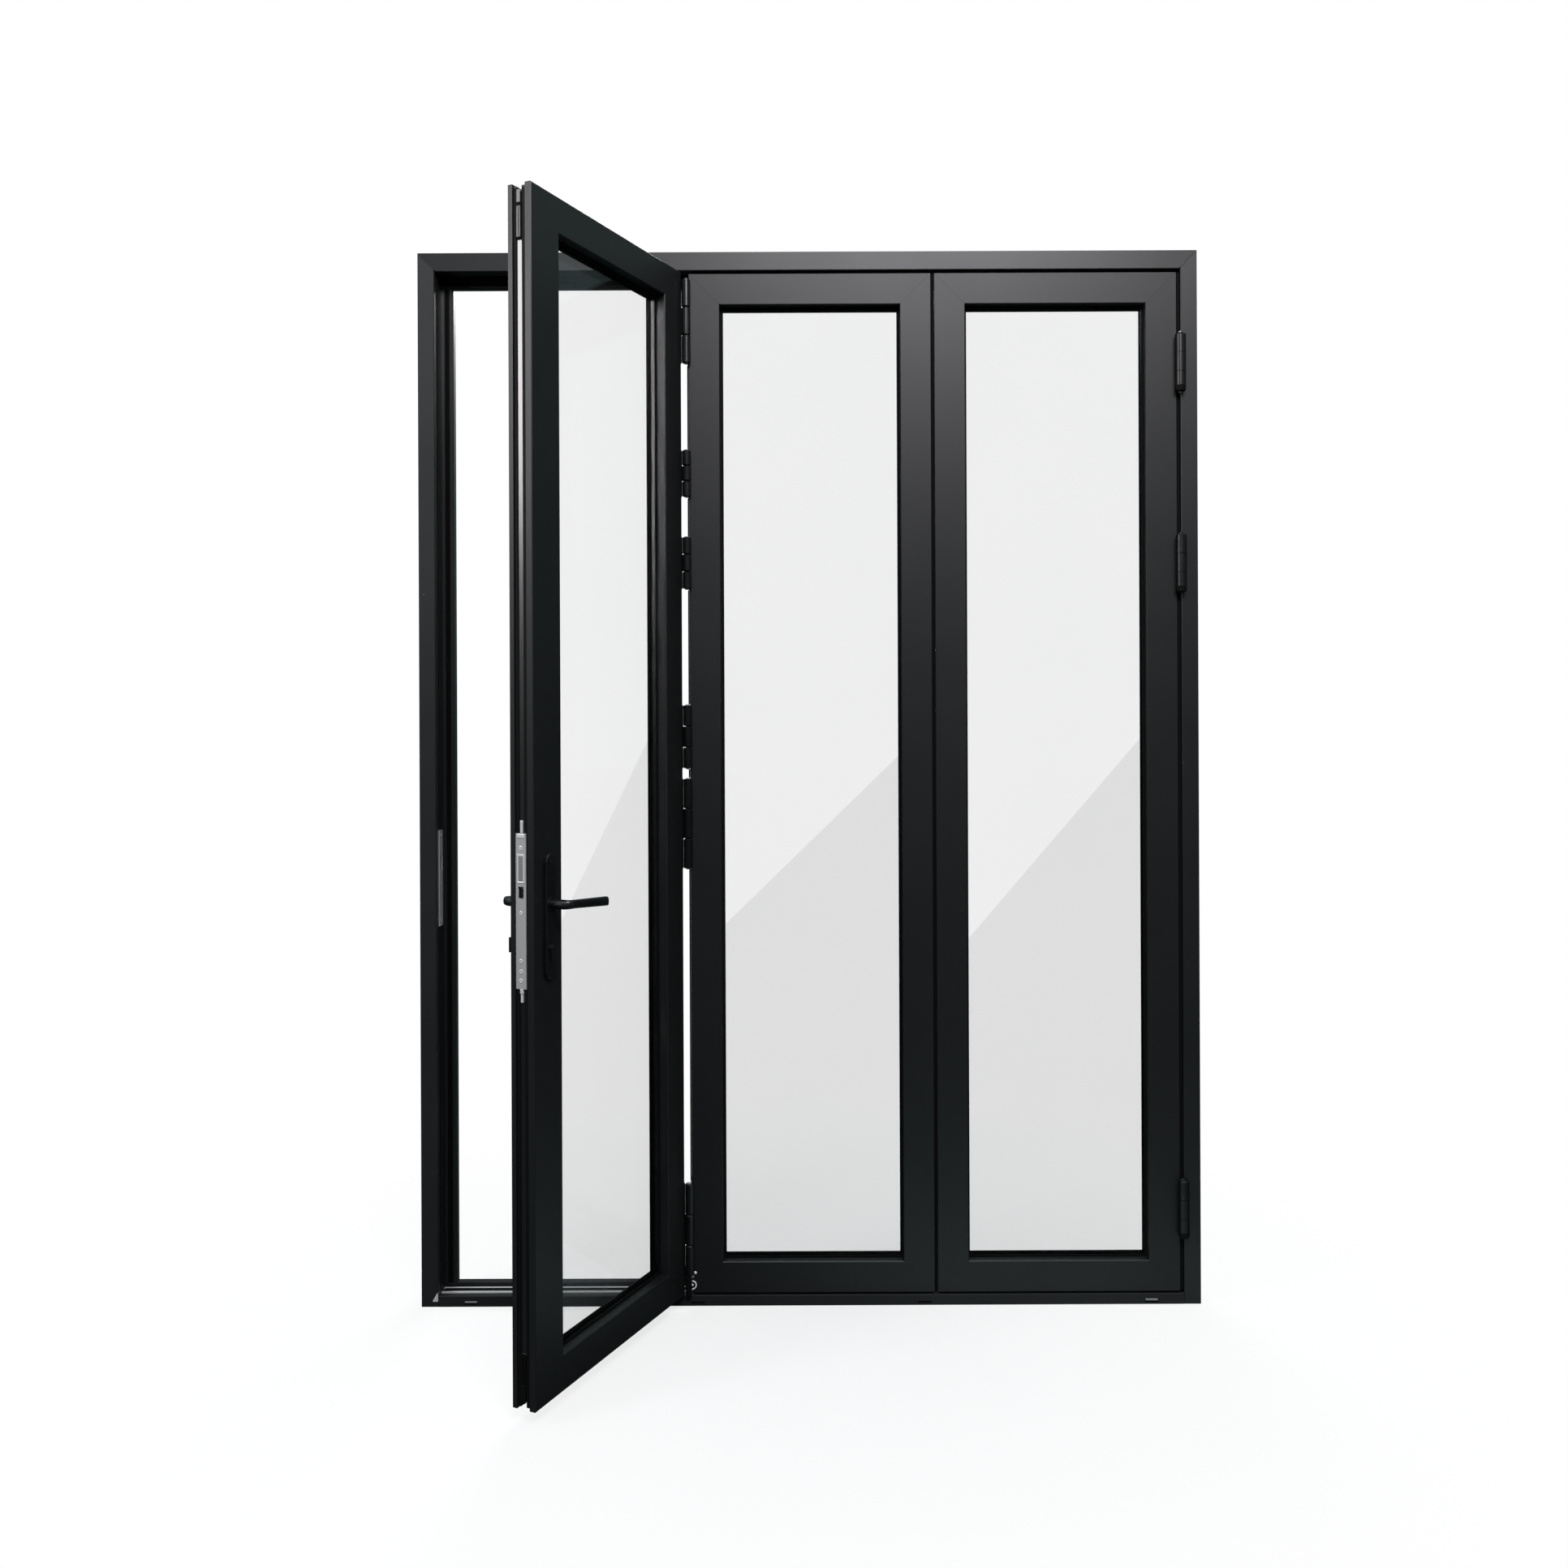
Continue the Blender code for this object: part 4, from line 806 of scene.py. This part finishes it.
def add_hinge_pins():
    """Bright pin ends on the access leaf's hinges; caps and pins on the other hinges, and dark strips of painted
    shade round the jamb hinges' barrels.
    """
    for i in range(1, 7):
        name = "access_hinge_" + str(i)
        low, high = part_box(name + "_fixed")
        ends = end_pair(AXIS.x, AXIS.y, low.z, high.z, radius=0.0042, proud=0.0022, edge=EDGE, sides=24)
        settle(ends, name + "_pin_ends", STEEL)
    barrel_radius = 0.0112
    pin_radius, pin_below, pin_above = 0.0034, 0.0046, 0.0056
    for label in ("jamb_hinge", "fold_hinge"):
        for level in ("lower", "middle", "upper"):
            name = label + "_" + level
            low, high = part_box(name)
            x = (low.x + high.x) / 2
            y = low.y + barrel_radius if label == "jamb_hinge" else high.y - barrel_radius
            caps = end_pair(x, y, low.z, high.z, radius=0.0075, proud=0.0030, edge=ROUND_EDGE, sides=28)
            settle(caps, name + "_caps", BLACK_COAT)
            pin = rod(pin_radius, (x, y, low.z - pin_below), (x, y, high.z + pin_above), EDGE, 20)
            # Only the upper hinges' pins are bright steel, a painted glint; the middle and lower pins are black.
            settle(pin, name + "_pin", STEEL if level == "upper" else BLACK_COAT)
            if label == "jamb_hinge":
                # Dark strips and a cup round the barrel: painted shade.
                settle(hinge_painted_shade(x, y, low, high), name + "_painted_shade", RUBBER)


def add_strike_details():
    """Screws on the strike plate."""
    low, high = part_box("strike_plate")
    middle = (low.y + high.y) / 2
    places = [(high.x, middle, z) for z in (low.z + 0.012, (low.z + high.z) / 2 - 0.014, high.z - 0.012)]
    screws("strike_screws", places, (1, 0, 0), STEEL, radius=0.0036)


def add_sill_details():
    """Dark blocks in the floor track as painted shade between its rails, the trim at the foot of the left jamb and
    the hoods of the outer drains.
    """
    low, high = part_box("sill")
    front = low.y
    track_low, track_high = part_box("bottom_track")
    carrier_low, carrier_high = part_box("bottom_carrier")
    play, wall = 0.002, 0.0034
    for name, left, right in (("left", track_low.x + play, carrier_low.x - play),
                              ("right", carrier_high.x + play, track_high.x - play)):
        # Each filler is painted shade in the track's channel.
        filler = start_block((left, track_low.y + wall, track_low.z + wall),
                             (right, track_high.y - wall, track_high.z - 0.0012))
        inset_face(filler, (0, 0, 1), (0.0030, 0.0), (0.0006, -0.0020))
        settle(soften(filler, THIN_EDGE), name + "_track_shade_filler", PLASTIC)

    trim_top = 0.031
    trim = start_block((low.x - 0.012, front - 0.0003, 0.012), (low.x - 0.0005, front + 0.002, trim_top))
    cut_off(trim, (low.x - 0.0025, front, trim_top), (-0.86, 0.0, 0.51))
    settle(trim, "jamb_foot_trim", BRIGHT_STEEL)

    half_length = 0.014
    for name, x in (("left", low.x + DRAIN_INSET), ("right", high.x - DRAIN_INSET)):
        hood = start_round(0.0024, (x - half_length, front, DRAIN_HEIGHT),
                           (x + half_length, front, DRAIN_HEIGHT), 20)
        cut_off(hood, (x, front + 0.0003, DRAIN_HEIGHT), (0.0, 1.0, 0.0))
        settle(soften(hood, EDGE), name + "_drain_hood", NYLON)


def add_mitre_lines():
    """The fine raised line along each mitre of the frame's face, a little short of the mitre at both ends."""
    low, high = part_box("head")
    sill_low, sill_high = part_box("sill")
    for name, corner, inner in (("left", low.x, sill_low.x), ("right", high.x, sill_high.x)):
        start = Vector((corner, low.y, high.z))
        end = Vector((inner, low.y, high.z - FRAME_TOP_LINE))
        trim = (end - start) * 0.04
        line = rod(0.0005, start + trim, end - trim, 0.0002, 10)
        settle(line, name + "_mitre_line", FRAME_COAT)


def add_guide_ring():
    """The bright ring at the foot of the seam, its hub and two rivets over it, whitened as a painted glint, with a
    dark base behind the ring as painted shade in its groove.
    """
    low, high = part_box("bottom_guide_cap")
    face = high.y
    x, z = (low.x + high.x) / 2 - 0.0083, (low.z + high.z) / 2 - 0.0028
    out = (0, -1, 0)
    ring_radius, ring_width, groove_shade_radius, hub_radius = 0.0106, 0.0032, 0.0084, 0.0030
    ring = open_ring(ring_radius, ring_width, (x, face - 0.0022, z), (x, face - 0.0048, z), 48)
    settle(soften(ring, 0.0010, 3), "guide_cap_ring", GLINT_WHITENED_STEEL)
    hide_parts("bottom_guide_cap")
    # The dark base is painted shade in the ring's groove.
    base = rod(groove_shade_radius, (x, face - 0.0020, z), (x, face - 0.0034, z), THIN_EDGE, 32)
    settle(base, "guide_cap_groove_shade", RUBBER)
    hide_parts("bottom_guide_cap")
    hub = dome(hub_radius, (x, face - 0.0036, z), out)
    settle(hub, "guide_cap_hub", GLINT_WHITENED_STEEL)
    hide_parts("bottom_guide_cap")
    rivets = [dome(radius, (x + shift, face - 0.0004, z + rise), out)
              for radius, shift, rise in ((0.0034, 0.0070, 0.0266), (0.0030, 0.0012, 0.0190))]
    settle(join(rivets), "seam_rivets", GLINT_WHITENED_STEEL)


def add_seam_foot():
    """The sleeve under the lowest hinge of the access leaf, and the dark stop block behind it."""
    sleeve_radius, sleeve_play = 0.0074, 0.0028
    sleeve_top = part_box("access_hinge_1_fixed")[0].z - sleeve_play
    x = AXIS.x - 0.0025
    sleeve = rod(sleeve_radius, (x, AXIS.y, sleeve_top), (x, AXIS.y, SLEEVE_FOOT), BOLD_EDGE, 32)
    settle(sleeve, "seam_foot_sleeve", PLASTIC)
    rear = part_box("sill")[1]
    stop = start_block((AXIS.x - 0.028, rear.y - STOP_THICKNESS, rear.z + SEAT),
                       (AXIS.x - 0.004, rear.y - 0.004, rear.z + 0.031))
    settle(soften(stop, 0.0015), "seam_stop_block", PLASTIC)


def add_seam_seal():
    """Seal strips on the edge of the middle leaf, between the hinges of the access leaf."""
    shortest, play = 0.02, 0.002
    edge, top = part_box("middle_leaf_left_stile")
    boxes = [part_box("access_hinge_" + str(i) + "_fixed") for i in range(1, 7)]
    spans = sorted((low.z, high.z) for low, high in boxes)
    strips = []
    for start, end in zip([span[1] for span in spans], [span[0] for span in spans[1:]] + [top.z]):
        if end - start > shortest:
            strips.append(soften(start_block((edge.x - SEAM_SEAL_REACH, edge.y + 0.0010, start + play),
                                             (edge.x - 0.0003, edge.y + 0.0050, end - play)), BOLD_EDGE))
    settle(join(strips), "open_seam_seal", RUBBER)


def add_camera():
    """The photograph's viewpoint."""
    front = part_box("left_jamb")[0].y
    data = bpy.data.cameras.new("camera")
    data.sensor_width = SENSOR_MM
    data.sensor_height = SENSOR_MM
    data.lens = FOCAL_PX / FRAME_PX * SENSOR_MM
    data.shift_x = (FRAME_PX / 2 - PRINCIPAL_X_PX) / FRAME_PX
    data.shift_y = (PRINCIPAL_Y_PX - FRAME_PX / 2) / FRAME_PX
    data.clip_end = 200.0
    camera = bpy.data.objects.new("camera", data)
    camera.location = (CAMERA_X, front - CAMERA_DISTANCE, CAMERA_HEIGHT)
    camera.rotation_euler = (math.pi / 2, CAMERA_ROLL, 0.0)
    bpy.context.scene.collection.objects.link(camera)
    bpy.context.scene.camera = camera


def add_floor():
    """A wide pale floor under the sill."""
    clear_selection()
    bpy.ops.mesh.primitive_plane_add(size=60.0, location=(0, 0, -0.0005))
    floor = bpy.context.object
    floor.name = "floor"
    floor.data.materials.append(floor_finish())


def add_lamp(name, place, target, size, power, through_glass=True):
    """A soft oblong lamp that the camera doesn't see, turned to a target."""
    data = bpy.data.lights.new(name, "AREA")
    data.shape = "RECTANGLE"
    data.size, data.size_y = size
    data.energy = power
    data.color = LAMP_COLOUR
    lamp = bpy.data.objects.new(name, data)
    lamp.location = place
    lamp.rotation_euler = (Vector(target) - Vector(place)).to_track_quat("-Z", "Y").to_euler()
    lamp.visible_camera = False
    lamp.visible_transmission = through_glass
    bpy.context.scene.collection.objects.link(lamp)


def add_light():
    """Soft lamps above, at the left and behind, and a surround that is white to the eye.

    For other rays the surround is dim at the horizon and brighter overhead.
    """
    add_lamp("overhead_soft_light", place=(0.55, -3.3, 4.1), target=(0.25, 0.0, 1.9), size=(2.0, 1.1), power=135.0)
    add_lamp("left_soft_light", place=(-3.4, -2.2, 3.05), target=(-0.5, -0.3, 1.9), size=(0.8, 1.6), power=57.0)
    add_lamp("rear_soft_light", place=(0.2, 3.2, 3.9), target=(0.0, 0.0, 1.7), size=(2.0, 1.1), power=110.0,
             through_glass=False)
    horizon, overhead_gain = 0.10, 0.45
    world = bpy.data.worlds.new("surround")
    bpy.context.scene.world = world
    world.use_nodes = True
    tree = world.node_tree
    background = tree.nodes["Background"]

    def feed(operation, *values):
        node = tree.nodes.new("ShaderNodeMath")
        node.operation = operation
        for i, value in enumerate(values):
            if isinstance(value, float):
                node.inputs[i].default_value = value
            else:
                tree.links.new(value, node.inputs[i])
        return node.outputs[0]

    rays = tree.nodes.new("ShaderNodeLightPath")
    bounces = feed("ADD", rays.outputs["Diffuse Depth"], rays.outputs["Glossy Depth"])
    straight = feed("MULTIPLY", rays.outputs["Is Transmission Ray"], feed("LESS_THAN", bounces, 0.5))
    seen = feed("MAXIMUM", rays.outputs["Is Camera Ray"], straight)
    place = tree.nodes.new("ShaderNodeTexCoord")
    split = tree.nodes.new("ShaderNodeSeparateXYZ")
    tree.links.new(place.outputs["Generated"], split.inputs[0])
    tint = tree.nodes.new("ShaderNodeMix")
    tint.data_type = "RGBA"
    tree.links.new(seen, tint.inputs[0])
    tint.inputs[6].default_value = SURROUND_COLOUR
    tint.inputs[7].default_value = WHITE
    tree.links.new(tint.outputs[2], background.inputs["Color"])
    up = feed("MAXIMUM", split.outputs["Z"], 0.0)
    dim = feed("MULTIPLY_ADD", up, overhead_gain, horizon)
    tree.links.new(feed("MAXIMUM", seen, dim), background.inputs["Strength"])


def dress_nodes():
    """Every carried-over node gets the finish of its slot."""
    finishes = {"black_hardware": BLACK_COAT, "brushed_steel": STEEL, "clear_glass": INNER_GLASS}
    aluminium = {"bottom_track": TRACK_ALUMINIUM, "top_carrier": DARK_ALUMINIUM, "bottom_carrier": DARK_ALUMINIUM}
    # The head, left jamb and sill take lighter or darker copies of the coat: painted light and shade.
    lit_and_shaded_coats = {"head": HEAD_SHADED_COAT, "left_jamb": LEFT_JAMB_LIT_COAT, "sill": SILL_LIT_COAT}
    slots = {part["node"]: part["material_slot"] for part in frame["record"]["subparts"]}
    for name, node in frame["nodes"].items():
        slot = slots[name]
        if slot == "bare_aluminium":
            finish = aluminium.get(name, BAR_SHADE_DARKENED_ALUMINIUM)
        elif slot == "charcoal_powder_coat":
            finish = LEAF_SHADED_COAT if "leaf" in name else lit_and_shaded_coats.get(name, FRAME_COAT)
        elif name.startswith("access_hinge"):
            finish = GLOSS_BLACK
        else:
            finish = finishes[slot]
        node.data.materials.clear()
        node.data.materials.append(finish)


def main():
    bpy.context.scene.view_settings.view_transform = "Standard"
    add_camera()
    dress_nodes()
    add_panes()
    add_glass_seals()
    add_frame_seals()
    add_thermal_breaks_and_shade()
    add_lock_edge()
    add_bar_guides()
    add_handle_details()
    add_hinge_pins()
    add_strike_details()
    add_sill_details()
    add_mitre_lines()
    add_guide_ring()
    add_seam_foot()
    add_seam_seal()
    add_floor()
    add_light()


main()
